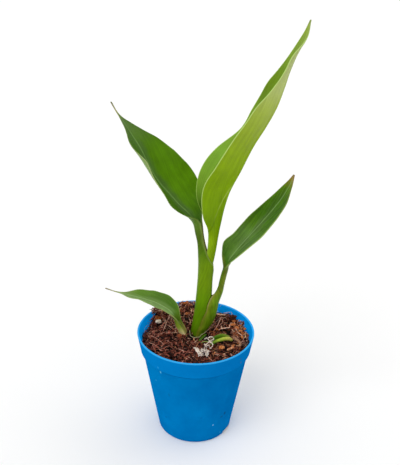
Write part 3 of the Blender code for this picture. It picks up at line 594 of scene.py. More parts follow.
# Fibres that stand out: points at heights above the mix, thickness, tint and rust
LOOSE_FIBRES = (
    (((13.0, 8.9, 0.8), (14.5, 9.0, 1.0), (16.2, 9.0, 1.0), (17.7, 9.1, 0.9)), 0.30, 1.00, 0.1),
    (((17.6, 8.7, 0.9), (17.9, 10.4, 1.1), (18.2, 12.4, 1.0)), 0.26, 0.97, 0.1),
    (((12.0, 8.5, 0.8), (13.0, 8.9, 0.9), (13.6, 9.4, 0.9)), 0.36, 0.92, 0.1),
    (((10.9, 22.6, 1.0), (12.6, 21.4, 1.2), (14.6, 20.4, 1.2), (16.0, 19.6, 1.0)), 0.42, 0.98, 0.3),
    (((14.6, 21.8, 1.3), (16.5, 21.6, 1.6), (18.8, 21.3, 1.4)), 0.16, 1.00, 0.0),
    (((19.0, 21.6, 1.3), (19.4, 19.6, 1.4), (18.4, 17.2, 1.0)), 0.15, 0.95, 0.1),
    (((12.9, 25.4, 3.0), (13.8, 26.2, 4.2), (14.4, 26.6, 5.0)), 0.10, 1.00, 0.0),
    (
        ((-17.4, 4.8, 0.9), (-16.0, 10.0, 1.3), (-14.6, 14.5, 1.3), (-13.6, 18.2, 1.0)),
        0.13, 0.93, 0.0,
    ),
    (((-19.0, 7.6, 0.8), (-17.4, 10.4, 1.2), (-15.8, 13.6, 1.0)), 0.10, 0.88, 0.0),
    (((-3.9, 11.4, 0.8), (-3.0, 12.8, 1.1), (-4.2, 17.3, 0.9)), 0.11, 0.92, 0.0),
    (((-13.4, 9.4, 0.9), (-11.4, 10.2, 1.2), (-9.2, 13.6, 1.0)), 0.12, 0.92, 0.0),
    (((-24.4, -4.4, 0.8), (-21.0, -7.4, 1.1), (-17.0, -12.6, 0.8)), 0.13, 0.85, 0.1),
    (((-2.2, 11.2, 0.9), (-4.0, 12.6, 1.1), (-6.5, 13.8, 0.7)), 0.10, 0.90, 0.1),
    (
        ((-24.6, 1.2, 0.9), (-22.0, 0.4, 1.2), (-18.2, -3.4, 1.0), (-16.0, -6.6, 0.8)),
        0.15, 0.86, 0.1,
    ),
    (((-20.8, 0.2, 0.9), (-18.6, 2.6, 1.3), (-15.5, 5.8, 1.0)), 0.16, 0.80, 0.1),
    (((-17.6, -8.6, 0.9), (-15.5, -5.6, 1.2), (-13.2, -3.4, 0.9)), 0.15, 0.82, 0.1),
    (((-8.8, -10.6, 0.9), (-5.6, -11.8, 1.1), (-2.2, -13.2, 0.8)), 0.18, 0.85, 0.0),
    (((20.6, 9.6, 0.8), (22.2, 4.7, 1.1), (24.0, 1.9, 0.8)), 0.15, 0.95, 0.1),
    (((22.0, 5.2, 0.9), (22.9, 4.0, 1.1), (24.2, 1.6, 0.9)), 0.24, 0.98, 0.1),
    (((9.0, 7.4, 0.9), (11.5, 11.5, 1.2), (13.2, 16.6, 1.2), (14.0, 18.6, 0.9)), 0.20, 0.90, 0.0),
)
# Chunks of husk that stand out: place and height above the mix, half sizes, turn, tint and rust
LOOSE_CHUNKS = (
    ((13.2, -7.6, 0.6), (1.5, 1.3, 0.8), 20, 0.75, 1.0),
    ((17.3, -8.6, 0.5), (1.6, 0.6, 0.5), 25, 0.86, 0.7),
    ((19.4, -8.0, 0.5), (0.9, 0.6, 0.5), -30, 0.82, 0.8),
    ((21.6, 9.2, 0.7), (1.4, 1.1, 0.8), -25, 0.72, 1.0),
    ((19.6, 11.4, 0.6), (1.5, 0.7, 0.6), 10, 0.74, 1.0),
    ((23.2, 11.0, 0.6), (1.2, 0.8, 0.6), 30, 0.66, 1.0),
    ((23.6, 7.6, 0.6), (1.1, 0.8, 0.6), -10, 0.75, 0.9),
    ((24.6, 5.4, 0.6), (1.2, 0.9, 0.7), 60, 0.64, 1.0),
    ((24.2, 0.8, 0.5), (0.8, 1.3, 0.6), 10, 0.72, 1.0),
    ((22.4, -3.6, 0.4), (1.1, 0.8, 0.5), -40, 0.68, 0.9),
    ((20.0, 17.8, 1.0), (1.8, 1.6, 1.3), 30, 0.26, 0.8),
    ((-6.2, 26.2, 0.5), (1.8, 1.2, 0.8), 5, 0.62, 1.0),
    ((-20.3, 14.4, 0.6), (2.2, 1.3, 1.0), 40, 0.55, 1.0),
    ((25.6, 12.6, 1.6), (1.3, 0.6, 0.6), 40, 0.50, 0.9),
    ((-8.4, 2.0, 0.7), (1.2, 1.0, 0.7), 0, 0.58, 0.6),
    ((25.8, 9.0, 0.9), (0.9, 0.8, 0.7), 15, 0.70, 1.0),
    ((20.2, 14.0, 0.7), (1.1, 0.7, 0.6), -15, 0.66, 1.0),
)

# White feeder roots: places with least heights, thickness and tint
FEEDERS = (
    (((-1.0, -8.4, 0), (0.4, -10.6, 0), (1.5, -13.6, 0), (2.3, -15.0, 0)), 0.30, 0.9),
    (((-0.3, -8.0, 0), (1.3, -11.2, 0), (1.9, -13.4, 0), (1.5, -15.3, 0)), 0.34, 1.0),
    (((0.8, -8.1, 0), (1.5, -10.6, 0), (2.8, -13.2, 0), (2.9, -15.6, 0)), 0.36, 0.9),
    (((1.5, -8.3, 0), (2.0, -10.9, 0), (3.5, -12.6, 0), (3.7, -15.2, 0)), 0.30, 0.8),
    (((6.8, -10.6, 0), (6.1, -12.2, 0), (6.3, -14.0, 0), (5.6, -15.8, 0)), 0.34, 1.0),
    (((5.8, -11.0, 0), (5.5, -12.9, 0), (4.9, -14.6, 0)), 0.30, 0.9),
    (((4.7, -11.2, 0), (5.2, -13.2, 0), (5.7, -15.2, 0)), 0.28, 0.8),
    (((2.2, -13.4, 0), (3.4, -14.3, 53.6), (4.6, -14.1, 53.6), (5.6, -13.2, 0)), 0.30, 1.0),
    (((2.0, -11.4, 0), (3.4, -12.4, 53.4), (4.8, -12.6, 53.4), (6.0, -11.9, 0)), 0.24, 0.8),
    (((2.9, -8.2, 0), (4.2, -9.6, 0), (4.6, -11.4, 0)), 0.24, 0.7),
    (((4.2, -7.6, 53.4), (5.4, -8.6, 53.4), (5.8, -10.0, 0), (6.8, -10.9, 0)), 0.27, 0.7),
    (((3.4, -9.4, 0), (5.0, -9.3, 53.6), (6.8, -9.0, 53.6), (8.2, -8.4, 0)), 0.26, 0.7),
    (
        (
            (6.4, -2.4, 53.6), (7.5, -1.5, 53.8), (9.0, -2.2, 53.8), (8.9, -4.4, 53.8),
            (7.2, -5.0, 53.8), (7.0, -6.6, 53.8), (8.4, -7.4, 53.8), (8.6, -9.2, 53.4),
            (7.6, -10.4, 53.0),
        ),
        0.27,
        0.85,
    ),
    (((4.6, -3.3, 53.4), (5.4, -2.6, 53.6), (6.4, -3.4, 53.6), (6.9, -4.4, 53.6)), 0.22, 0.8),
    (((8.8, -5.6, 53.4), (7.6, -6.2, 54.0), (6.0, -7.4, 53.8), (5.0, -8.8, 53.4)), 0.24, 0.75),
)

# How many rows a root has between its places
ROUTE_SHARE = 3
ROOT_SHARE = 4
HAIR_SHARE = 3
FEEDER_SEED = 5
# Short hairs that start beside the feeders
SIDE_HAIRS = 12
HAIR_RADIUS = 0.2
HAIR_HEIGHT = 53.0
HAIR_STEPS = (0.0, 0.6, 1.2)
HAIR_REACH = 0.8
HAIR_SWAY = 0.15
HAIR_WIGGLE = 0.08
HAIR_TINTS = (0.5, 1.0)
# How a root clears the ground, thins towards its end, and varies
ROOT_CLEARANCE = 0.2
ROOT_TAPER = 0.62
ROOT_UNEVEN = (0.82, 1.18)
ROOT_SIDES = 8
FEEDER_WIGGLE = 0.09
# The feeders' skin, and the dirt on it
FEEDER_SKIN = ((0.3, "c29a8a"), (0.7, "ead6c8"), (1.0, "fdf0e2"))
FEEDER_DIRT = "6e5046"
DIRT_NOISE = (1.7, 4.0, 0.6)
DIRT_EDGE = (0.54, 0.63, 0.0, 0.75)
FEEDER_FINISH = (0.6, 0.2)
FEEDER_GRAIN = 3.0
FEEDER_RELIEF = (0.12, 0.7)
# Where the ground is felt: looking down from a height, in so many ways, at shares of the reach
LOOK_DOWN_FROM = 60.0
GROUND_WAYS = 8
GROUND_SHARES = (0.0, 0.5, 1.0)
# The skin of the root at the plant's foot, and where it turns mauve
FOOT_SEED = 6
FOOT_WIGGLE = 0.015
FOOT_FINISH = (0.55, 0.2)
FOOT_TURNS = (3.0, 9.0)
FOOT_COLOURS = ("bfba90", "94716c")
FOOT_SPECKS = 2.4
FOOT_SPECKLED = (0.5, 0.7, 0.0, 0.5)
FOOT_SPECK = "8a8a5c"
FOOT_GRAIN = (4.0, 2.0)
FOOT_RELIEF = (0.06, 0.6)
# A thin pale root that runs down the stem and round the plant's foot
FOOT_ROOT_RADIUS = 0.17
FOOT_ROOT = (
    (-3.2, 5.6, 53.0), (-3.1, 4.6, 52.0), (-2.4, 3.2, 0.0), (-0.8, 2.8, 0.0),
    (0.9, 3.0, 0.0), (2.6, 3.4, 51.4), (4.5, 4.0, 52.5), (6.5, 5.2, 53.8), (8.2, 6.6, 55.0),
    (9.7, 8.2, 55.8), (11.0, 9.5, 56.5), (12.6, 11.2, 57.4),
)

# The stub of an old leaf: a cut limb, the lobe behind it, its dried husk and two torn strands,
# each a path of places with its half width at each
LIMB = (
    (7.4, -7.3, 52.7, 0.3), (8.4, -6.5, 53.1, 0.7), (10.2, -5.3, 53.5, 0.85),
    (12.2, -4.2, 53.6, 1.0), (14.4, -3.1, 53.6, 1.1), (16.6, -2.5, 53.4, 1.1),
    (18.2, -2.9, 53.1, 0.9), (18.9, -3.5, 52.9, 0.3),
)
LOBE = (
    (8.0, -4.8, 52.4, 0.4), (9.0, -3.2, 53.0, 1.1), (10.2, -2.0, 53.3, 1.4),
    (11.8, -1.0, 53.5, 1.5), (13.6, -0.4, 53.5, 1.5), (15.6, -0.7, 53.3, 1.35),
    (17.2, -1.5, 52.9, 1.1), (18.4, -2.4, 52.5, 0.4),
)
LOBE_FACES = (0.3, -1.0, 0.15)
HUSK = (
    (18.2, -0.6, 53.4, 0.3), (19.2, -0.9, 53.6, 0.7), (20.4, -2.0, 53.5, 0.9),
    (21.4, -3.6, 53.4, 0.8), (22.5, -5.4, 53.3, 0.7), (22.6, -7.4, 53.2, 0.6),
    (21.4, -7.9, 53.0, 0.5), (20.4, -7.3, 52.9, 0.2),
)
TORN_STRAND = (
    (2.6, -5.1, 52.3, 0.15), (4.3, -4.7, 52.9, 0.30), (6.0, -4.7, 52.9, 0.35),
    (7.4, -5.2, 52.8, 0.35), (8.4, -5.6, 52.8, 0.2),
)
FLAKE = (
    (1.6, -2.4, 51.2, 0.2), (2.4, -1.2, 51.8, 0.6), (3.8, 1.0, 52.0, 0.7),
    (5.6, 3.6, 52.2, 0.3),
)
# Each part's places, how flat it is, the way it faces, its sides, its unevenness, and its tint
# and paleness
STUB_PARTS = (
    (LIMB, 0.85, UP, 24, 0.03, (1.0, 0.0, 0.0)),
    (LOBE, 0.30, LOBE_FACES, 24, 0.03, (0.0, 0.0, 0.0)),
    (TORN_STRAND, 0.6, UP, 10, 0.12, (0.5, 1.0, 0.0)),
    (FLAKE, 0.3, UP, 10, 0.08, (0.0, 0.0, 0.0)),
)
HUSK_SHAPE = (0.16, UP, 20, 0.15)
STUB_SHARE = 6

# The stub's skin: greens along the limb, partly a painted highlight, and along the lobe, partly
# painted shade, then a painted shade that comes in below, and the brown at the brim
STUB_GLOSS = 0.2
STUB_ALONG = (6.0, 19.0)
LIMB_GREENS = ((0.1, "5a7c18"), (0.4, "93a930"), (0.75, "adb93c"), (0.95, "b5a64a"))
LOBE_GREENS = ((0.0, "416a10"), (0.5, "528210"), (0.9, "6a7a1c"))
SHADE_BELOW_HEIGHTS = (52.6, 54.3, 0.65, 0.0)
SHADE_BELOW_GREEN = "40610e"
BRIM_HEIGHTS = (54.55, 54.95, 0.0, 0.6)
BRIM_BROWN = "7a5a24"
STRAND_GREEN = "7f9048"
STUB_PATCHES = (0.9, 4.0)
STUB_PATCHY = (0.35, 0.65, 0.86, 1.12)
STUB_GRAIN = 2.5
STUB_RELIEF = (0.06, 0.6)
HUSK_FINISH = (
    "dry_husk", (0.8, 0.1), (1.2, 4.0),
    ((0.3, "6a4436"), (0.5, "966a50"), (0.7, "b89070")), 0.2,
)
STUB_SEED = 8
CRUMPLE = 0.25
CRUMPLE_SCALE = 0.9

# The perlite grain
GRAIN_PLACE = (-19.9, 11.6)
GRAIN_SIZE = (3.3, 2.3, 1.9)
GRAIN_TURN = 15.0
GRAIN_ROUGH = ((0.25, 1.5), (0.06, 4.5), (0.03, 10.5))
GRAIN_STANDS = 0.85
PERLITE_FINISH = (
    "perlite", (0.9, 0.1), (1.3, 4.0),
    ((0.34, "8e7864"), (0.46, "dccab4"), (0.62, "f2e6d4")), 0.2,
)

PLANS = {
    "tall_leaf": (LeafPlan(TALL_LEAF, LEAN_RIGHT, LEVEL_HEIGHT, 10), TALL_LOOK),
    "left_leaf": (LeafPlan(LEFT_LEAF, LEAN_LEFT, LEVEL_HEIGHT, 13), LEFT_LOOK),
    "right_leaf": (LeafPlan(RIGHT_LEAF, LEAN_RIGHT, LEVEL_HEIGHT, 13), RIGHT_LOOK),
    "low_leaf": (LeafPlan(LOW_LEAF, LEAN_LEFT, FLOOR, 4), LOW_LOOK),
}


def shade(code):
    """A colour as it is seen, written as six hex digits, as linear red, green, blue and alpha."""
    values = [int(code[i : i + 2], 16) / 255 for i in (0, 2, 4)]
    linear = [v / 12.92 if v <= 0.04045 else ((v + 0.055) / 1.055) ** 2.4 for v in values]
    return (*linear, 1.0)


class Value:
    """A number, place or colour over a surface, worked out by shader nodes."""

    def __init__(self, tree, socket=None):
        self.tree = tree
        self.socket = socket

    def node(self, kind, inputs, output=0, **settings):
        """What a new node makes of its inputs: values, numbers, or colours as hex digits."""
        made = self.tree.nodes.new(kind)
        for key, setting in settings.items():
            setattr(made, key, setting)
        for key, value in inputs.items():
            if isinstance(value, Value):
                self.tree.links.new(value.socket, made.inputs[key])
            else:
                made.inputs[key].default_value = shade(value) if isinstance(value, str) else value
        return Value(self.tree, made.outputs[output])

    def maths(self, operation, first, second):
        return self.node("ShaderNodeMath", {0: first, 1: second}, operation=operation)

    def __add__(self, other):
        return self.maths("ADD", self, other)

    def __sub__(self, other):
        return self.maths("SUBTRACT", self, other)

    def __rsub__(self, other):
        return self.maths("SUBTRACT", other, self)

    def __mul__(self, other):
        return self.maths("MULTIPLY", self, other)

    def vector(self, operation, other):
        return self.node("ShaderNodeVectorMath", {0: self, 1: other}, operation=operation)

    def scaled(self, factor):
        """A place taken further out, or a colour made lighter, by a factor."""
        return self.node("ShaderNodeVectorMath", {0: self, 3: factor}, operation="SCALE")

    def length(self):
        return self.node("ShaderNodeVectorMath", {0: self}, "Value", operation="LENGTH")

    def parts(self):
        """The three numbers of a place."""
        made = self.node("ShaderNodeSeparateXYZ", {0: self})
        return [Value(self.tree, part) for part in made.socket.node.outputs]

    def between(self, low, high, start=0.0, end=1.0):
        """From start to end as this goes from low to high, smoothly, and level beyond."""
        inputs = {0: self, 1: low, 2: high, 3: start, 4: end}
        return self.node("ShaderNodeMapRange", inputs, interpolation_type="SMOOTHSTEP", clamp=True)

    def spread(self, start, end):
        """A noise spread out from start to end."""
        return self.between(*NOISE_SPAN, start, end)

    def mix(self, first, second):
        """The first colour where this is 0, and the second where it is 1."""
        return self.node("ShaderNodeMix", {0: self, 6: first, 7: second}, 2, data_type="RGBA")

    def ramp(self, stops):
        """A colour read from stops of (place, hex colour)."""
        made = self.node("ShaderNodeValToRGB", {0: self})
        bar = made.socket.node.color_ramp.elements
        while len(bar) < len(stops):
            bar.new(0.5)
        for element, (place, colour) in zip(bar, stops):
            element.position = place
            element.color = shade(colour)
        return made

    def grain(self, scale, detail=3.0, rough=0.5):
        inputs = {"Vector": self, "Scale": scale, "Detail": detail, "Roughness": rough}
        return self.node("ShaderNodeTexNoise", inputs, "Fac")

    def lines(self, scale, detail=2.0):
        inputs = {"W": self, "Scale": scale, "Detail": detail}
        return self.node("ShaderNodeTexNoise", inputs, "Fac", noise_dimensions="1D")


class Skin:
    """A material in the making."""

    def __init__(self, name, roughness, gloss):
        self.material = bpy.data.materials.new(name)
        self.material.use_nodes = True
        tree = self.material.node_tree
        self.source = Value(tree)
        self.inputs = tree.nodes["Principled BSDF"].inputs
        self.inputs["Roughness"].default_value = roughness
        self.inputs["Specular IOR Level"].default_value = gloss

    def place(self):
        """The point's place, in millimetres."""
        return self.source.node("ShaderNodeTexCoord", {}, "Object").scaled(1 / MM)

    def stored(self, name):
        """The three numbers stored on the point."""
        return self.source.node("ShaderNodeAttribute", {}, "Vector", attribute_name=name).parts()

    def feed(self, name, value):
        value.tree.links.new(value.socket, self.inputs[name])

    def finish(self, colour, relief, depth, strength):
        """The material, given its colour and a relief with its depth."""
        self.feed("Base Color", colour)
        inputs = {"Strength": strength, "Distance": depth * MM, "Height": relief}
        self.feed("Normal", relief.node("ShaderNodeBump", inputs))
        return self.material


def placed(name, data):
    """A new object in the scene."""
    thing = bpy.data.objects.new(name, data)
    bpy.context.scene.collection.objects.link(thing)
    return thing


def piece(name, mesh, finish, slot, *nodes):
    """A piece of the object that rides on its body, and stands for the solids it replaces."""
    thing = placed(name, mesh)
    mesh.materials.append(finish)
    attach(thing, BODY)
    if nodes:
        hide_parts(*nodes)


def surface(name, points, faces):
    """A smooth-shaded mesh, with its faces turned outwards."""
    mesh = bpy.data.meshes.new(name)
    mesh.from_pydata((np.asarray(points, float) * MM).tolist(), [], faces)
    shell = bmesh.new()
    shell.from_mesh(mesh)
    bmesh.ops.recalc_face_normals(shell, faces=shell.faces)
    shell.to_mesh(mesh)
    shell.free()
    mesh.shade_smooth()
    return mesh


def store(mesh, name, values):
    """Keeps three numbers for each point of a mesh."""
    mesh.attributes.new(name, "FLOAT_VECTOR", "POINT")
    mesh.attributes[name].data.foreach_set("vector", np.asarray(values, np.float32).ravel())


def ring_faces(rows, sides, first=0):
    """Faces between rows of points that run round a shape."""
    faces = []
    for a in range(first, first + (rows - 1) * sides, sides):
        for k in range(sides):
            m = (k + 1) % sides
            faces.append((a + k, a + m, a + sides + m, a + sides + k))
    return faces


def closed_faces(rows, sides):
    """Faces of a closed shape: a first point, rows of points round the shape, and a last point."""
    last = 1 + (rows - 1) * sides
    faces = ring_faces(rows, sides, 1)
    for k in range(sides):
        m = (k + 1) % sides
        faces.append((0, 1 + m, 1 + k))
        faces.append((last + k, last + m, last + sides))
    return faces


def turns(sides):
    """Angles evenly round a circle."""
    return np.arange(sides) * 2 * math.pi / sides


def unit(rows):
    """Each row as a direction."""
    return rows / np.linalg.norm(rows, axis=1)[:, None]


def smooth_rows(keys, places):
    """Rows of keys (run, values...) read at places, smooth and through every row."""
    run = keys[:, 0]
    rows = keys[:, 1:]
    step = np.diff(run)
    slope = np.diff(rows, axis=0) / step[:, None]
    tangent = np.empty_like(rows)
    tangent[0] = slope[0]
    tangent[-1] = slope[-1]
    both = (step[1:] + step[:-1])[:, None]
    tangent[1:-1] = (slope[:-1] * step[1:, None] + slope[1:] * step[:-1, None]) / both
    index = np.clip(np.searchsorted(run, places, side="right") - 1, 0, len(step) - 1)
    width = step[index][:, None]
    u = (places - run[index])[:, None] / width
    start = (2 * u**3 - 3 * u**2 + 1) * rows[index] + (u**3 - 2 * u**2 + u) * width * tangent[index]
    end = (3 * u**2 - 2 * u**3) * rows[index + 1] + (u**3 - u**2) * width * tangent[index + 1]
    return start + end


def finer(rows, share):
    """Rows with more between them, smooth and through every row."""
    last = len(rows) - 1
    keys = np.column_stack((np.arange(last + 1), rows))
    return smooth_rows(keys, np.linspace(0.0, last, last * share + 1))


def midrib_frames(route, plan):
    """Along the midrib: the way across towards the front, and the way the upper face looks."""
    free = np.clip((route[:, 2] - plan.level) / LEVEL_BLEND, 0.0, 1.0)[:, None]
    along = unit(free * unit(np.gradient(route, axis=0)) + (1 - free) * UP)
    lean = np.array(plan.lean)
    upper = unit(lean - (along @ lean)[:, None] * along)
    across = np.cross(along, upper)
    across *= np.where(across[:, 1] > 0, -1.0, 1.0)[:, None]
    return across, upper


def thickness(at, width, u, fade, thinned):
    """How thick a half is, and how much thinner it is there than a solid stalk."""
    back, edge = at.back[:, None], at.edge[:, None]
    reach = width * u
    to_margin = width - reach
    wide = np.clip(width / WIDE_HALF - 1, 0.0, 1.0)
    ridge = np.sqrt(np.clip(1 - (reach / (RIB_REACH + RIB_SPREAD * fade)) ** 2, 0.0, 1.0))
    ridge = ridge * (back - BLADE) * (RIB_LEAST + (1 - RIB_LEAST) * fade)
    bead = BEAD * np.exp(-((to_margin / BEAD_REACH) ** 2)) * wide
    thin = BLADE + ridge + bead
    solid = edge + (back - edge) * (1 - u) ** STALK_TAPER
    solid = solid * (1 - SHEATH_THINNING * wide * np.exp(-to_margin / SHEATH_EDGE))
    return thinned * thin + (1 - thinned) * solid, np.clip(solid - thin, 0.0, None)


def ripples(vein, width, u):
    """Pleats and veins, which die out at the midrib and the margin, and where a half is narrow."""
    height = PLEAT_HEIGHT * np.sin(2 * math.pi * vein / PLEAT_SPACING)
    height = height + VEIN_HEIGHT * np.sin(2 * math.pi * vein / VEIN_SPACING)
    return height * np.clip(width / FULL_RIPPLE, 0, 1) * np.sin(math.pi * u) ** RIPPLE_FADE


def half_blade(at, side, run, across, upper, blade_run):
    """One half of a leaf from midrib to margin: its face, its back, and what is stored on them."""
    width = getattr(at, side)[:, None]
    lift = np.radians(getattr(at, side + "_lift"))[:, None]
    curl = np.radians(getattr(at, side + "_curl"))[:, None]
    u = 0.5 - 0.5 * np.cos(np.linspace(0.0, math.pi, HALF_COLUMNS + 1))[None, :]
    start = lift - curl / 2
    angle = start + curl * u
    out = width / curl * (np.sin(angle) - np.sin(start))
    high = width / curl * (np.cos(start) - np.cos(angle))
    normal = np.cos(angle)[..., None] * upper[:, None] - np.sin(angle)[..., None] * across[:, None]
    reach = width * u
    vein = run[:, None] - VEIN_SLANT * reach * (1 + VEIN_BOW * u)
    thinned = np.clip((SOLID_CURL - np.degrees(curl)) / (SOLID_CURL - THIN_CURL), 0.0, 1.0)
    fade = np.exp(-np.clip(run[:, None] - blade_run, 0.0, None) / RIB_FADE)
    thick, spare = thickness(at, width, u, fade, thinned)
    groove = GROOVE * np.exp(-((reach / GROOVE_REACH) ** 2))
    sink = thinned * (spare / 2 + groove - ripples(vein, width, u))
    route = np.stack((at.x, at.y, at.z), -1)[:, None]
    face = route + out[..., None] * across[:, None] + high[..., None] * upper[:, None]
    face = face - sink[..., None] * normal
    kept = np.stack((np.broadcast_to(vein, reach.shape), reach, width - reach), -1)
    return face, face - thick[..., None] * normal, kept


def whole_station(row):
    """A station with its far half written out."""
    return row if len(row) == len(Station._fields) else (*row[:6], *row[3:])


def leaf_rings(plan):
    """Closed rings of points round the leaf, and the values stored on them."""
    keys = np.array([whole_station(row) for row in plan.stations])
    steps = np.linalg.norm(np.diff(keys[:, :3], axis=0), axis=1)
    run = np.concatenate(([0.0], np.cumsum(steps)))
    rows = np.linspace(0, len(run) - 1, (len(run) - 1) * (ROWS_BETWEEN + 1) + 1)
    places = np.interp(rows, np.arange(len(run)), run)
    read = smooth_rows(np.column_stack((run, keys)), places)
    at = Station(*read.T)
    across, upper = midrib_frames(read[:, :3], plan)
    blade_run = run[plan.blade_from]
    near = half_blade(at, "near", places, across, upper, blade_run)
    far = half_blade(at, "far", places, -across, upper, blade_run)
    points = join_ring(near[0], far[0], far[1], near[1])
    kept = join_ring(near[2], far[2], far[2], near[2])
    face = 2 * HALF_COLUMNS + 1
    sides = np.zeros(points.shape)
    sides[..., 0] = (rows / rows[-1])[:, None]
    sides[:, :face, 1] = 1.0
    sides[..., 2] = -1.0
    sides[:, HALF_COLUMNS, 2] = 0.0
    sides[:, HALF_COLUMNS + 1 : face + 1 + HALF_COLUMNS, 2] = 1.0
    return points, kept, sides


def join_ring(near, far, far_back, near_back):
    """Rows round the leaf: the face, a point beyond the far margin, the back, and one more."""
    face = np.concatenate((near[:, ::-1], far[:, 1:]), axis=1)
    back = np.concatenate((far_back[:, ::-1], near_back[:, 1:]), axis=1)
    far_tip = (far[:, -1:] + far_back[:, -1:]) / 2
    near_tip = (near[:, -1:] + near_back[:, -1:]) / 2
    return np.concatenate((face, far_tip, back, near_tip), axis=1)


def leaf(name, plan, look):
    """A closed leaf that stands for its solid, with its places along and across stored."""
    rings, kept, sides = leaf_rings(plan)
    count, size = rings.shape[:2]
    faces = ring_faces(count, size)
    across = 2 * HALF_COLUMNS
    for first in (0, (count - 1) * size):
        for step in range(across):
            opposite = first + size - 2 - step
            faces.append((first + step, first + step + 1, opposite - 1, opposite))
        faces.append((first, first + size - 2, first + size - 1))
        faces.append((first + across, first + across + 1, first + across + 2))
    mesh = surface(name, rings.reshape(-1, 3), faces)
    store(mesh, "vein_reach_edge", kept.reshape(-1, 3))
    store(mesh, "row_face_half", sides.reshape(-1, 3))
    blade_row = plan.blade_from / (len(plan.stations) - 1)
    piece(name, mesh, leaf_material(name + "_skin", look, blade_row), name, name)


def upper_colour(look, row, reach, half, blade, patches):
    """The upper face: its ramp, the near half's painted light and shade, and the painted sheen."""
    tint, share = look.near
    # Painted shade on the near half's upper face, and painted light on the low leaf's
    near = half.between(*HALVES_MEET, share, 0.0) * blade * row.between(*NEAR_ENDS, 1.0, 0.0)
    upper = near.mix(row.ramp(look.upper), tint)
    # A painted sheen beside the midrib, and over the whole tip
    tint, share, spread = look.glow
    ragged = reach + patches * GLOW_RAGGED
    glow = ragged.between(GLOW_START + spread / 4, GLOW_START + spread, share, 0.0)
    glow = glow * blade * row.between(*GLOW_ENDS, 1.0, 0.0)
    tip = row.between(look.tip_glow, look.tip_glow + TIP_FADE, 0.0, share)
    return glow.maths("MAXIMUM", glow, tip).mix(upper, tint)


def crease(row, reach, face, line):
    """How much of the crease's painted shade and highlight shows beside the midrib on the back,
    between two rows.
    """
    first, last, widest, share = line
    off = reach - row.between(first + FOLD_NARROWS, last, widest, FOLD_LEAST)
    painted_fold = off.maths("ABSOLUTE", off, 0.0).between(*FOLD_EDGE, share, 0.0)
    rows = row.between(first - FOLD_STARTS, first) * row.between(last - FOLD_ENDS, last, 1.0, 0.0)
    return painted_fold * (rows * (1.0 - face))


def streaks(look, vein, reach, half, patches):
    """How much lighter or darker the skin is, in patches, soft bands of painted shade and fine
    veins.
    """
    across = vein.node("ShaderNodeCombineXYZ", {0: reach, 1: vein, 2: half})
    low, high = 1 - look.streak, 1 + look.streak
    # Soft bands of painted shade from shallow folds along the leaf
    fold_shade_bands = across.vector("MULTIPLY", BAND_STRETCH).grain(1.0).spread(low, high)
    fine = vein.lines(*VEIN_LINES).spread(low, high)
    return patches.spread(1 - look.mottle, 1 + look.mottle) * (fold_shade_bands * fine)


def leaf_material(name, look, blade_row):
    """Leaf skin: colours along the leaf on each face, veins, midrib, margin, and painted tone,
    sheen, bands and crease.
    """
    skin = Skin(name, LEAF_ROUGHNESS, LEAF_GLOSS)
    vein, reach, edge = skin.stored("vein_reach_edge")
    row, face, half = skin.stored("row_face_half")
    where = skin.place()
    blade = row.between(blade_row, blade_row + BLADE_FADE)
    patches = where.grain(LEAF_PATCHES)
    upper = upper_colour(look, row, reach, half, blade, patches)
    colour = face.mix(row.ramp(look.back), upper)
    tint, share, spread = look.sheath
    colour = (edge.between(0.0, spread, share, 0.0) * (1.0 - blade)).mix(colour, tint)
    colour = colour.scaled(streaks(look, vein, reach, half, patches))
    tint, share = look.rib
    rib = reach.between(*RIB_PAINT, share, 0.0) * blade
    colour = rib.mix(colour, face.mix(look.rib_back, tint))
    share, spread = look.margin_tone
    colour = edge.between(RIM_START, spread, share, 0.0).mix(colour, row.ramp(look.margin))
    # Painted shade and highlight along the crease on the back
    colour = crease(row, reach, face, look.crease).mix(colour, row.ramp(FOLD_SHADE_AND_HIGHLIGHT))
    skin.feed("Roughness", patches.spread(*ROUGHER))
    relief = vein.lines(VEIN_RELIEF) + where.grain(*CELLS) * CELL_SHARE
    return skin.finish(colour, relief, *LEAF_RELIEF)


def inside_radius(z):
    """The pot's inside radius at a height."""
    return float(np.interp(z, INSIDE_HEIGHTS, INSIDE_RADII))


def arc(centre_x, centre_z, radius, first, last, steps):
    """Points of an arc in the section's plane, from one angle in degrees to another."""
    angles = [math.radians(first + (last - first) * step / steps) for step in range(steps + 1)]
    return [(centre_x + radius * math.cos(a), centre_z + radius * math.sin(a)) for a in angles]


def pot_profile():
    """Half section of the pot, from the middle of its floor over the lip to its underside."""
    lip = WALL / 2
    profile = [(0.0, FLOOR), (INSIDE_RADII[0] - FLOOR_FILLET, FLOOR)]
    profile += [(inside_radius(FLOOR + FLOOR_FILLET), FLOOR + FLOOR_FILLET)]
    profile += list(zip(INSIDE_RADII[1:-1], INSIDE_HEIGHTS[1:-1]))
    profile += arc(RIM_RADIUS - lip, POT_HEIGHT - lip, lip, *LIP_ARC)
    profile += arc(BAND_RADIUS - BAND_ROUND, BAND_BOTTOM + BAND_ROUND, BAND_ROUND, *BAND_ARC)
    profile += [(BODY_RADIUS + out, BODY_TOP + up) for out, up in BODY_CORNER]
    profile += arc(BASE_RADIUS - BASE_ROUND, BASE_ROUND, BASE_ROUND, *BASE_ARC)
    return profile + [(0.0, 0.0)]


def turned(profile, sides):
    """Points and faces of a section turned about the upright axis, with its ends on the axis."""
    rings = [(r * math.cos(a), r * math.sin(a), z) for r, z in profile[1:-1] for a in turns(sides)]
    first, last = [(0.0, 0.0, z) for _, z in (profile[0], profile[-1])]
    return [first, *rings, last], closed_faces(len(profile) - 2, sides)


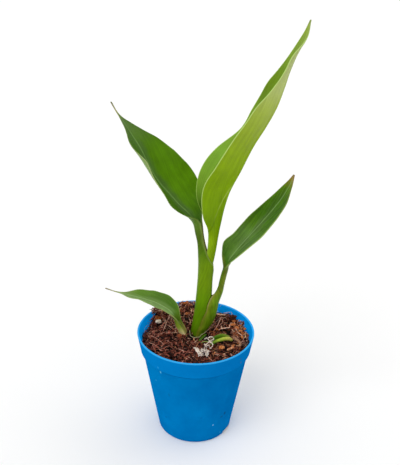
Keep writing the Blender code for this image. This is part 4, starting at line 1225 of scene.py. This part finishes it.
def drain_cutter(name, degrees):
    """A block across the corner of the pot's base."""
    mesh = bpy.data.meshes.new(name)
    shape = bmesh.new()
    size = Vector((DRAIN_WIDTH, DRAIN_DEPTH * 2, DRAIN_HEIGHT * 2)) * MM
    bmesh.ops.create_cube(shape, size=1.0, matrix=Matrix.Diagonal((*size, 1.0)))
    shape.to_mesh(mesh)
    shape.free()
    block = placed(name, mesh)
    turn = math.radians(degrees)
    block.location = Vector((math.sin(turn), -math.cos(turn), 0.0)) * BASE_RADIUS * MM
    block.rotation_euler = (0.0, 0.0, turn)
    return block


def pot(finish):
    """The cup, with two drain notches cut through the corner of its base."""
    cup = placed("pot_blank", surface("pot_blank", *turned(pot_profile(), POT_SIDES)))
    cutters = [drain_cutter(f"drain_{number}", turn) for number, turn in enumerate(DRAIN_ANGLES)]
    for notch in cutters:
        change = cup.modifiers.new(notch.name, "BOOLEAN")
        change.operation = "DIFFERENCE"
        change.solver = "EXACT"
        change.object = notch
    seen = cup.evaluated_get(bpy.context.evaluated_depsgraph_get())
    mesh = bpy.data.meshes.new_from_object(seen)
    mesh.name = "pot_shell"
    for tool in (*cutters, cup):
        bpy.data.objects.remove(tool, do_unlink=True)
    mesh.shade_smooth()
    mesh.set_sharp_from_angle(angle=math.radians(SHARP_ANGLE))
    mesh.materials.clear()
    piece("pot_shell", mesh, finish, "pot", "pot")


def plastic_material():
    """Moulded blue plastic, satin, with flow marks, dust, specks, scuffs, and painted light and
    shade.
    """
    skin = Skin("blue_plastic", *PLASTIC)
    where = skin.place()
    across, _, high = where.parts()
    # Painted light and shade: the blue is lighter at the pot's left and darker at its right
    colour = (where.grain(CLOUD_SCALE) - across.between(*PAINTED_SIDE_SHADE)).ramp(BLUES)
    colour = high.between(*BAND_HEIGHTS).mix(colour, BAND_BLUE)
    # A painted highlight along the lip
    colour = high.between(*LIP_HIGHLIGHT_HEIGHTS).mix(colour, LIP_HIGHLIGHT_BLUE)
    # A painted shadow on the ledge under the band
    ledge_shadow = high.between(*LEDGE_SHADOW_STARTS) * high.between(*LEDGE_SHADOW_ENDS)
    colour = ledge_shadow.mix(colour, LEDGE_SHADOW_BLUE)
    colour = where.grain(*DUST_NOISE).between(*DUST).mix(colour, DUST_BLUE)
    for place, reach, tint, share in MARKS:
        colour = mark(where, place, reach, share).mix(colour, tint)
    # A painted glow: emission that lights the band's shaded inside
    skin.feed("Emission Color", painted_wall_glow(where, high))
    skin.inputs["Emission Strength"].default_value = 1.0
    relief = where.grain(FINE_WAVES) + where.grain(*SLOW_WAVES)
    return skin.finish(colour, relief, *PLASTIC_RELIEF)


def painted_wall_glow(where, high):
    """A painted glow on the band's shaded inside, under the lip, as if light came through the wall.
    """
    reach = where.vector("MULTIPLY", (1.0, 1.0, 0.0)).length()
    upright = reach - high * BAND_SLOPE
    inside = upright.between(INNER_FACE, INNER_FACE + INNER_FADE, 1.0, 0.0)
    inside = inside * high.between(*GLOW_HEIGHTS)
    patchy = where.grain(GLOW_PATCHES).spread(*GLOW_SPREAD)
    return (inside * patchy).mix(BLACK, PAINTED_WALL_GLOW)


def mark(where, place, reach, share):
    """How much of a mark's colour shows, fading from its place, with a ragged edge."""
    far = where.vector("SUBTRACT", place).vector("DIVIDE", reach).length()
    return (far + where.grain(*MARK_NOISE)).between(*MARK_EDGE, share, 0.0)


def wave(x, y, bumps):
    """How far bumps of smooth noise go up or down at a place."""
    height, layer, size = bumps
    return height * noise.noise(Vector((x, y, layer)) / size)


def rise(x, y, mound):
    """How far a round rise or dip lifts the mix at a place."""
    centre_x, centre_y, height, reach = mound
    far = ((x - centre_x) ** 2 + (y - centre_y) ** 2) / (2 * reach**2)
    return height * math.exp(-far)


def soil_height(x, y):
    """The mix's surface: level, heaped at the back, hollow before the foot, lumpy all over."""
    level = SOIL_LEVEL + sum(rise(x, y, mound) for mound in MOUNDS)
    return level + wave(x, y, LUMPS) + wave(x, y, SMALL_LUMPS)


def coir_bed():
    """The closed body of the mix, from the pot's floor up to under the loose cover."""
    floor = FLOOR + GAP
    outline = [
        (INSIDE_RADII[0] - GAP - BED_CORNER, floor),
        (inside_radius(floor + BED_CORNER) - GAP, floor + BED_CORNER),
        (inside_radius(BED_SHOULDER) - GAP, BED_SHOULDER),
    ]
    around = turns(BED_SIDES)
    points = [(0.0, 0.0, floor)]
    points += [(r * math.cos(a), r * math.sin(a), z) for r, z in outline for a in around]
    rim = inside_radius(SOIL_LEVEL) - GAP
    for step in range(BED_RINGS):
        share = 1 - step / BED_RINGS
        for a in around:
            x, y = rim * share * math.cos(a), rim * share * math.sin(a)
            z = soil_height(x, y) - BED_DROP + wave(x, y, BED_BUMPS)
            spread = (inside_radius(z) - GAP) / rim if step == 0 else 1.0
            points.append((x * spread, y * spread, z))
    points.append((0.0, 0.0, soil_height(0.0, 0.0) - BED_DROP))
    faces = closed_faces(len(outline) + BED_RINGS, BED_SIDES)
    # Near black: painted shade in the gaps
    piece("coir_bed", surface("coir_bed", points, faces), speckled(*BED_SHADE_FINISH), "soil", "soil")


def speckled(name, finish, noises, stops, depth):
    """A dull material whose colour follows its relief, darker in its pits."""
    skin = Skin(name, *finish)
    speck = skin.place().grain(*noises)
    return skin.finish(speck.ramp(stops), speck, depth, PIT_STRENGTH)


def coir_material():
    """Coir: each piece its own brown, mauve or rust, with painted shade that darkens it the deeper
    it lies.
    """
    skin = Skin("coir", *COIR)
    where = skin.place()
    tint, rust, depth = skin.stored(OWN)
    value = tint + where.grain(*COIR_PATCHES).spread(-COIR_PATCHY, COIR_PATCHY)
    colour = rust.mix(value.ramp(COIR_BROWN), value.ramp(COIR_ORANGE))
    # Painted shade, darker the deeper a piece lies
    colour = colour.scaled(depth.between(*COIR_DEPTH_SHADE))
    return skin.finish(colour, where.grain(COIR_GRAIN), *COIR_RELIEF)


def strand(path, widths, flat, up):
    """A closed strip round a path: its points and faces."""
    along = np.gradient(path, axis=0)
    along /= np.linalg.norm(along, axis=1)[:, None] + TINY
    side = np.cross(along, up)
    side /= np.linalg.norm(side, axis=1)[:, None] + TINY
    over = np.cross(side, along)
    sides = widths.shape[1]
    turn = turns(sides)[None, :, None]
    across = np.cos(turn) * side[1:-1, None] + flat * np.sin(turn) * over[1:-1, None]
    rings = path[1:-1, None] + widths[1:-1, :, None] * across
    points = np.concatenate([path[:1], rings.reshape(-1, 3), path[-1:]])
    faces = [(face[0], *face[:0:-1]) for face in closed_faces(len(path) - 2, sides)]
    return points, faces


def gathered(name, parts, finish, slot, *nodes, flat_shaded=False):
    """One piece from closed shapes: points, faces, and tint, rust and depth."""
    points, faces, values = [], [], []
    start = 0
    for shape, sides, value in parts:
        points.append(shape)
        faces += [tuple(index + start for index in face) for face in sides]
        values.append(np.broadcast_to(value, shape.shape))
        start += len(shape)
    mesh = bpy.data.meshes.new(name)
    mesh.from_pydata((np.concatenate(points) * MM).tolist(), [], faces)
    if not flat_shaded:
        mesh.shade_smooth()
    store(mesh, OWN, np.concatenate(values))
    return piece(name, mesh, finish, slot, *nodes)


def held_in(points):
    """Points pushed in from the pot's wall, so that nothing passes through it below the rim."""
    for point in points:
        if point[2] > OVER_RIM:
            continue
        limit = inside_radius(min(max(point[2], 0.0), POT_HEIGHT)) - WALL_CLEARANCE
        reach = math.hypot(point[0], point[1])
        if reach > limit:
            point[:2] *= limit / reach
    return points


def lift_at(rng, x, y, lift):
    """How far above the mix a loose piece lies: in soft clumps, and lower in the clearings."""
    drawn = rng.uniform(*lift) + wave(x, y, CLUMPS)
    for centre_x, centre_y, reach, highest in CLEARINGS:
        if math.hypot(x - centre_x, y - centre_y) < reach:
            drawn = min(drawn, highest)
    return drawn


def strewn(rng, kind):
    """Random places on the mix, evenly spread, and how far above it a piece lies at each."""
    for _ in range(kind.count):
        reach = (inside_radius(SOIL_LEVEL) - kind.margin) * math.sqrt(rng.random())
        turn = rng.uniform(0, 2 * math.pi)
        x, y = reach * math.cos(turn), reach * math.sin(turn)
        lift = lift_at(rng, x, y, kind.lift)
        yield (x, y, soil_height(x, y) + lift), lift


def own_colour(rng, place, kind, lift):
    """A loose piece's tint and rust, drier and rustier at the right, and how deep it lies."""
    x, y = place[:2]
    dry = DRYNESS * (max(x, x * LEFT_DRYNESS) + y) + wave(x, y, DRY_PATCHES)
    low, high = kind.tint
    value = low + (high - low) * rng.beta(CONTRAST, CONTRAST)
    value = min(max(value + dry, 0.0), 1.0)
    chance = kind.rust * (1 + (x + y * BACK_RUST) / RUST_REACH)
    rusty = rng.uniform(*RUSTY) if rng.random() < chance else rng.uniform(*PLAIN)
    return value, rusty, min(max(TOP_HEIGHT - lift, 0.0), 1.0)


def lying_path(rng, place, fibre):
    """A bent, tilted path through a place, which follows the mix loosely."""
    x, y, z = place
    length = rng.uniform(*fibre.length)
    turn = rng.uniform(0, 2 * math.pi)
    bend = rng.normal(0, BEND)
    tilt = rng.normal(0, fibre.tilt)
    level = soil_height(x, y)
    path = []
    for share in np.linspace(-0.5, 0.5, max(FIBRE_ROWS, int(length / FIBRE_STEP))):
        run = share * length
        a = turn + bend * run
        px, py = x + math.cos(a) * run, y + math.sin(a) * run
        follow = CONFORM * (soil_height(px, py) - level)
        path.append((px, py, z + follow + tilt * run - FIBRE_SAG * share**2))
    return held_in(np.array(path))


def loose_piece(rng, fibre, place):
    """The points and faces of one fibre or chip at a place."""
    path = lying_path(rng, place, fibre)
    widths = rng.uniform(*fibre.radius) * rng.uniform(*UNEVEN, (len(path), fibre.sides))
    up = np.array((rng.normal(0, ROLL), rng.normal(0, ROLL), 1.0))
    return strand(path, widths, fibre.flat, up)


def cover(rng, kind, fibre):
    """All the fibres or chips of one kind."""
    for place, lift in strewn(rng, kind):
        colour = own_colour(rng, place, kind, lift)
        yield (*loose_piece(rng, fibre, place), colour)


def tufts(rng):
    """Fibres that stand loosely above the rim and the heaps."""
    for x, y, z, reach, count in TUFTS:
        for _ in range(count):
            far = reach * math.sqrt(rng.random())
            turn = rng.uniform(0, 2 * math.pi)
            height = z + rng.uniform(*TUFT.lift) * (1 - far / reach)
            colour = own_colour(rng, (x, y), TUFT, 0.0)
            place = (x + far * math.cos(turn), y + far * math.sin(turn), height)
            yield (*loose_piece(rng, TUFT_FIBRE, place), colour)


def ball(subdivisions):
    """Points and faces of a ball of radius 1."""
    shape = bmesh.new()
    bmesh.ops.create_icosphere(shape, subdivisions=subdivisions, radius=1.0)
    points = np.array([v.co for v in shape.verts])
    faces = [tuple(v.index for v in f.verts) for f in shape.faces]
    shape.free()
    return points, faces


def roughened(points, waves, size, shift=(0.0, 0.0, 0.0)):
    """Points of a ball pushed in and out by waves of (height, scale), then stretched to a size."""
    moved = []
    for point in points:
        at = Vector(point)
        rough = 1 + sum(high * noise.noise(at * scale + Vector(shift)) for high, scale in waves)
        moved.append(at * rough * Vector(size))
    return moved


def chunk(rng, shape, place, size, degrees):
    """The points and faces of a rough, angular chunk of husk."""
    points = roughened(shape[0], CHUNK_ROUGH, size, rng.uniform(*CHUNK_SHIFTS, 3))
    lean = Matrix.Rotation(rng.normal(0, CHUNK_LEAN), 3, "X")
    lean = lean @ Matrix.Rotation(rng.normal(0, CHUNK_LEAN), 3, "Y")
    turn = Matrix.Rotation(math.radians(degrees), 3, "Z")
    points = [turn @ (lean @ point) for point in points]
    return held_in(np.array(points) + np.array(place)), shape[1]


def chunks(rng):
    """Chunks of husk: the ones that stand out, and others strewn over the mix."""
    shape = ball(3)
    for (x, y, lift), size, degrees, tint, rust in LOOSE_CHUNKS:
        place = (x, y, soil_height(x, y) + lift)
        yield (*chunk(rng, shape, place, size, degrees), (tint, rust, 0.0))
    shape = ball(2)
    for place, lift in strewn(rng, CHUNKS):
        size = [rng.uniform(*span) for span in CHUNK_SIZES]
        colour = own_colour(rng, place, CHUNKS, lift)
        yield (*chunk(rng, shape, place, size, rng.uniform(0, 360)), colour)


def crumbs(rng):
    """Knobbly crumbs of pith in the gaps."""
    ball_points, faces = ball(1)
    for place, lift in strewn(rng, CRUMBS):
        points = ball_points * rng.uniform(*CRUMB_KNOBS, (len(ball_points), 1))
        points = points * rng.uniform(*CRUMB_RADIUS) * rng.uniform(*CRUMB_STRETCH, 3)
        points = held_in(points + np.array(place))
        yield points, faces, own_colour(rng, place, CRUMBS, lift)


def loose_fibres(rng):
    """The fibres that stand out, each through its own places."""
    for places, radius, tint, rust in LOOSE_FIBRES:
        keys = np.array([(x, y, soil_height(x, y) + high) for x, y, high in places])
        path = held_in(finer(keys, LOOSE_SHARE))
        widths = radius * rng.uniform(*LOOSE_UNEVEN, (len(path), LOOSE_SIDES))
        yield (*strand(path, widths, LOOSE_FLAT, UP), (tint, rust, 0.0))


def mix():
    """The bed and its loose cover."""
    rng = np.random.default_rng(COIR_SEED)
    finish = coir_material()
    coir_bed()
    layers = [(kind.name, cover(rng, kind, fibre)) for kind, fibre in FIBRES]
    layers += [(TUFT.name, tufts(rng)), (CHUNKS.name, chunks(rng))]
    layers += [(CRUMBS.name, crumbs(rng)), ("loose_fibres", loose_fibres(rng))]
    for name, parts in layers:
        gathered(name, parts, finish, "soil", flat_shaded=name in ANGULAR)


def ground(tree, x, y, reach):
    """The highest point of the mix within reach of a place."""
    heights = []
    for turn in turns(GROUND_WAYS):
        for share in GROUND_SHARES:
            out = Vector((math.cos(turn), math.sin(turn), 0.0)) * reach * share
            start = Vector((x, y, LOOK_DOWN_FROM)) + out
            hit = tree.ray_cast(start * MM, Vector((0.0, 0.0, -1.0)))[0]
            heights.append(hit.z / MM)
    return max(heights)


def resting_route(tree, places, radius, share):
    """Points of a thin root through places with least heights, kept clear above the mix."""
    keys = np.array(places, float)
    flat = finer(keys[:, :2], ROUTE_SHARE)
    steps = np.linspace(0.0, len(keys) - 1, len(flat))
    route = []
    for (x, y), least in zip(flat, np.interp(steps, np.arange(len(keys)), keys[:, 2])):
        clear = ground(tree, x, y, radius + ROOT_CLEARANCE) + radius
        route.append((x, y, max(clear, least)))
    return finer(np.array(route), share)


def root_strand(rng, tree, places, radius, share, wiggle):
    """A knobbly root over the mix through places, thinner towards its end."""
    route = resting_route(tree, places, radius, share)
    count = len(route)
    route = route + rng.normal(0, wiggle, route.shape)
    taper = np.linspace(1.0, ROOT_TAPER, count)[:, None]
    widths = radius * taper * rng.uniform(*ROOT_UNEVEN, (count, ROOT_SIDES))
    return strand(route, widths, 1.0, UP)


def rootlets(rng, tree):
    """White feeder roots lying in a tangle on the mix, with short side hairs."""
    for places, radius, tint in FEEDERS:
        yield (*root_strand(rng, tree, places, radius, ROOT_SHARE, FEEDER_WIGGLE), (tint, 0.0, 0.0))
    for _ in range(SIDE_HAIRS):
        places = FEEDERS[rng.integers(len(FEEDERS))][0]
        start = np.array(places[rng.integers(1, len(places))][:2], float)
        way = rng.normal(0, HAIR_REACH, 2)
        spots = [start + way * out + rng.normal(0, HAIR_SWAY, 2) for out in HAIR_STEPS]
        hair = [(*spot, HAIR_HEIGHT) for spot in spots]
        shape = root_strand(rng, tree, hair, HAIR_RADIUS, HAIR_SHARE, HAIR_WIGGLE)
        yield (*shape, (rng.uniform(*HAIR_TINTS), 0.0, 0.0))


def roots(tree):
    """The white feeder roots, and the thin pale root round the plant's foot."""
    parts = rootlets(np.random.default_rng(FEEDER_SEED), tree)
    gathered("rootlets", parts, feeder_material(), "white_rootlets", "white_rootlets")
    rng = np.random.default_rng(FOOT_SEED)
    shape = root_strand(rng, tree, FOOT_ROOT, FOOT_ROOT_RADIUS, ROOT_SHARE, FOOT_WIGGLE)
    gathered("foot_root", [(*shape, (0.5, 0.0, 0.0))], foot_material(), "pale_root", "pale_root")


def feeder_material():
    """Whitish root skin with brown crumbs of the mix stuck to it, pinker where it is thin."""
    skin = Skin("white_root", *FEEDER_FINISH)
    where = skin.place()
    tint = skin.stored(OWN)[0]
    dirt = where.grain(*DIRT_NOISE).between(*DIRT_EDGE)
    colour = dirt.mix(tint.ramp(FEEDER_SKIN), FEEDER_DIRT)
    return skin.finish(colour, where.grain(FEEDER_GRAIN), *FEEDER_RELIEF)


def foot_material():
    """Cream-green root skin that turns mauve towards its right end."""
    skin = Skin("pale_root", *FOOT_FINISH)
    where = skin.place()
    colour = where.parts()[0].between(*FOOT_TURNS).mix(*FOOT_COLOURS)
    speck = where.grain(FOOT_SPECKS).between(*FOOT_SPECKLED)
    return skin.finish(speck.mix(colour, FOOT_SPECK), where.grain(*FOOT_GRAIN), *FOOT_RELIEF)


def limb(rng, spine, flat, up, sides, uneven):
    """A closed, slightly uneven shape along places, with its half width at each."""
    read = finer(np.array(spine), STUB_SHARE)
    rough = 1 + uneven * rng.uniform(-1, 1, (len(read), sides))
    return strand(read[:, :3], read[:, 3:] * rough, flat, up)


def stub():
    """The old leaf's stub at the front right, with its lobe, husk and torn strands."""
    rng = np.random.default_rng(STUB_SEED)
    body = [(*limb(rng, *shape), value) for *shape, value in STUB_PARTS]
    gathered("stub_body", body, stub_material(), "old_leaf_stub", "old_leaf_stub")
    points, faces = limb(rng, HUSK, *HUSK_SHAPE)
    noise.seed_set(STUB_SEED)
    for point in points:
        point += CRUMPLE * np.array(noise.noise_vector(Vector(point) * CRUMPLE_SCALE))
    parts = [(held_in(points), faces, (0.0, 0.0, 0.0))]
    gathered("stub_husk", parts, speckled(*HUSK_FINISH), "old_leaf_stub")


def stub_material():
    """Green, with painted shade low down that leaves the limb's top brighter, ochre at its cut end,
    and darker on the lobe.
    """
    skin = Skin("stub_skin", LEAF_ROUGHNESS, STUB_GLOSS)
    where = skin.place()
    tint, pale, _ = skin.stored(OWN)
    across, _, high = where.parts()
    along = across.between(*STUB_ALONG)
    colour = tint.mix(along.ramp(LOBE_GREENS), along.ramp(LIMB_GREENS))
    # Painted shade, darker towards the bottom
    shade_below = high.between(*SHADE_BELOW_HEIGHTS)
    brim = high.between(*BRIM_HEIGHTS) * (1.0 - tint)
    for share, over in ((shade_below, SHADE_BELOW_GREEN), (brim, BRIM_BROWN), (pale, STRAND_GREEN)):
        colour = share.mix(colour, over)
    colour = colour.scaled(where.grain(*STUB_PATCHES).between(*STUB_PATCHY))
    return skin.finish(colour, where.grain(STUB_GRAIN), *STUB_RELIEF)


def grain(tree):
    """A rounded perlite grain with knobbly, pitted sides."""
    points, faces = ball(5)
    size = Vector(GRAIN_SIZE) / 2
    x, y = GRAIN_PLACE
    low = ground(tree, x, y, size.x)
    middle = Vector((x, y, low + size.z * GRAIN_STANDS))
    turn = Matrix.Rotation(math.radians(GRAIN_TURN), 3, "Z")
    shape = [middle + turn @ point for point in roughened(points, GRAIN_ROUGH, size)]
    mesh = surface("perlite", shape, faces)
    piece("perlite", mesh, speckled(*PERLITE_FINISH), "perlite_grain", "perlite_grain")


def main_pieces():
    """Every piece of the object; the roots and the grain rest on the solid of the mix."""
    for name, (plan, look) in PLANS.items():
        leaf(name, plan, look)
    pot(plastic_material())
    mix()
    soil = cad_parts["soil"].data
    corners = [v.co for v in soil.vertices]
    tree = BVHTree.FromPolygons(corners, [tuple(p.vertices) for p in soil.polygons])
    roots(tree)
    stub()
    grain(tree)


def make_camera():
    lens = bpy.data.cameras.new("camera")
    lens.sensor_width = SENSOR
    lens.lens = FOCAL_PIXELS / max(PICTURE_SIZE) * SENSOR
    lens.clip_start = CAMERA_NEAREST
    camera = placed("camera", lens)
    tilt = Matrix.Rotation(math.radians(90 - CAMERA_PITCH), 4, "X")
    roll = Matrix.Rotation(math.radians(CAMERA_ROLL), 4, "Z")
    camera.matrix_world = Matrix.Translation(Vector(CAMERA_PLACE) * MM) @ tilt @ roll
    bpy.context.scene.camera = camera


def make_stage():
    """A plain pale floor."""
    r = FLOOR_REACH
    mesh = bpy.data.meshes.new("floor")
    corners = [(x, y, -FLOOR_DROP) for x, y in ((-r, -r), (r, -r), (r, r), (-r, r))]
    mesh.from_pydata(corners, [], [(0, 1, 2, 3)])
    skin = Skin("pale_floor", *FLOOR_FINISH)
    skin.inputs["Base Color"].default_value = FLOOR_COLOUR
    mesh.materials.append(skin.material)
    floor = placed("floor", mesh)
    floor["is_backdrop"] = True


def make_light():
    """Soft studio light: a pale surrounding, and two broad lamps above."""
    world = bpy.data.worlds.new("studio")
    world.use_nodes = True
    back = world.node_tree.nodes["Background"]
    back.inputs["Color"].default_value = STUDIO_COLOUR
    back.inputs["Strength"].default_value = STUDIO_STRENGTH
    bpy.context.scene.world = world
    for name, (direction, strength, breadth, colour) in LAMPS.items():
        lamp = bpy.data.lights.new(name, "SUN")
        lamp.energy = strength
        lamp.angle = math.radians(breadth)
        lamp.color = colour
        thing = placed(name, lamp)
        thing.rotation_mode = "QUATERNION"
        thing.rotation_quaternion = Vector(direction).to_track_quat("Z", "Y")
    bpy.context.scene.view_settings.view_transform = "Standard"


def write_sizes():
    """Works out the solids' box and the dressed object's box, which are not kept."""
    boxes = {"cad": CAD_BOX, "visual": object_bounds()}
    lists = {name: [list(corner) for corner in box] for name, box in boxes.items()}


main_pieces()
make_camera()
make_stage()
make_light()
write_sizes()
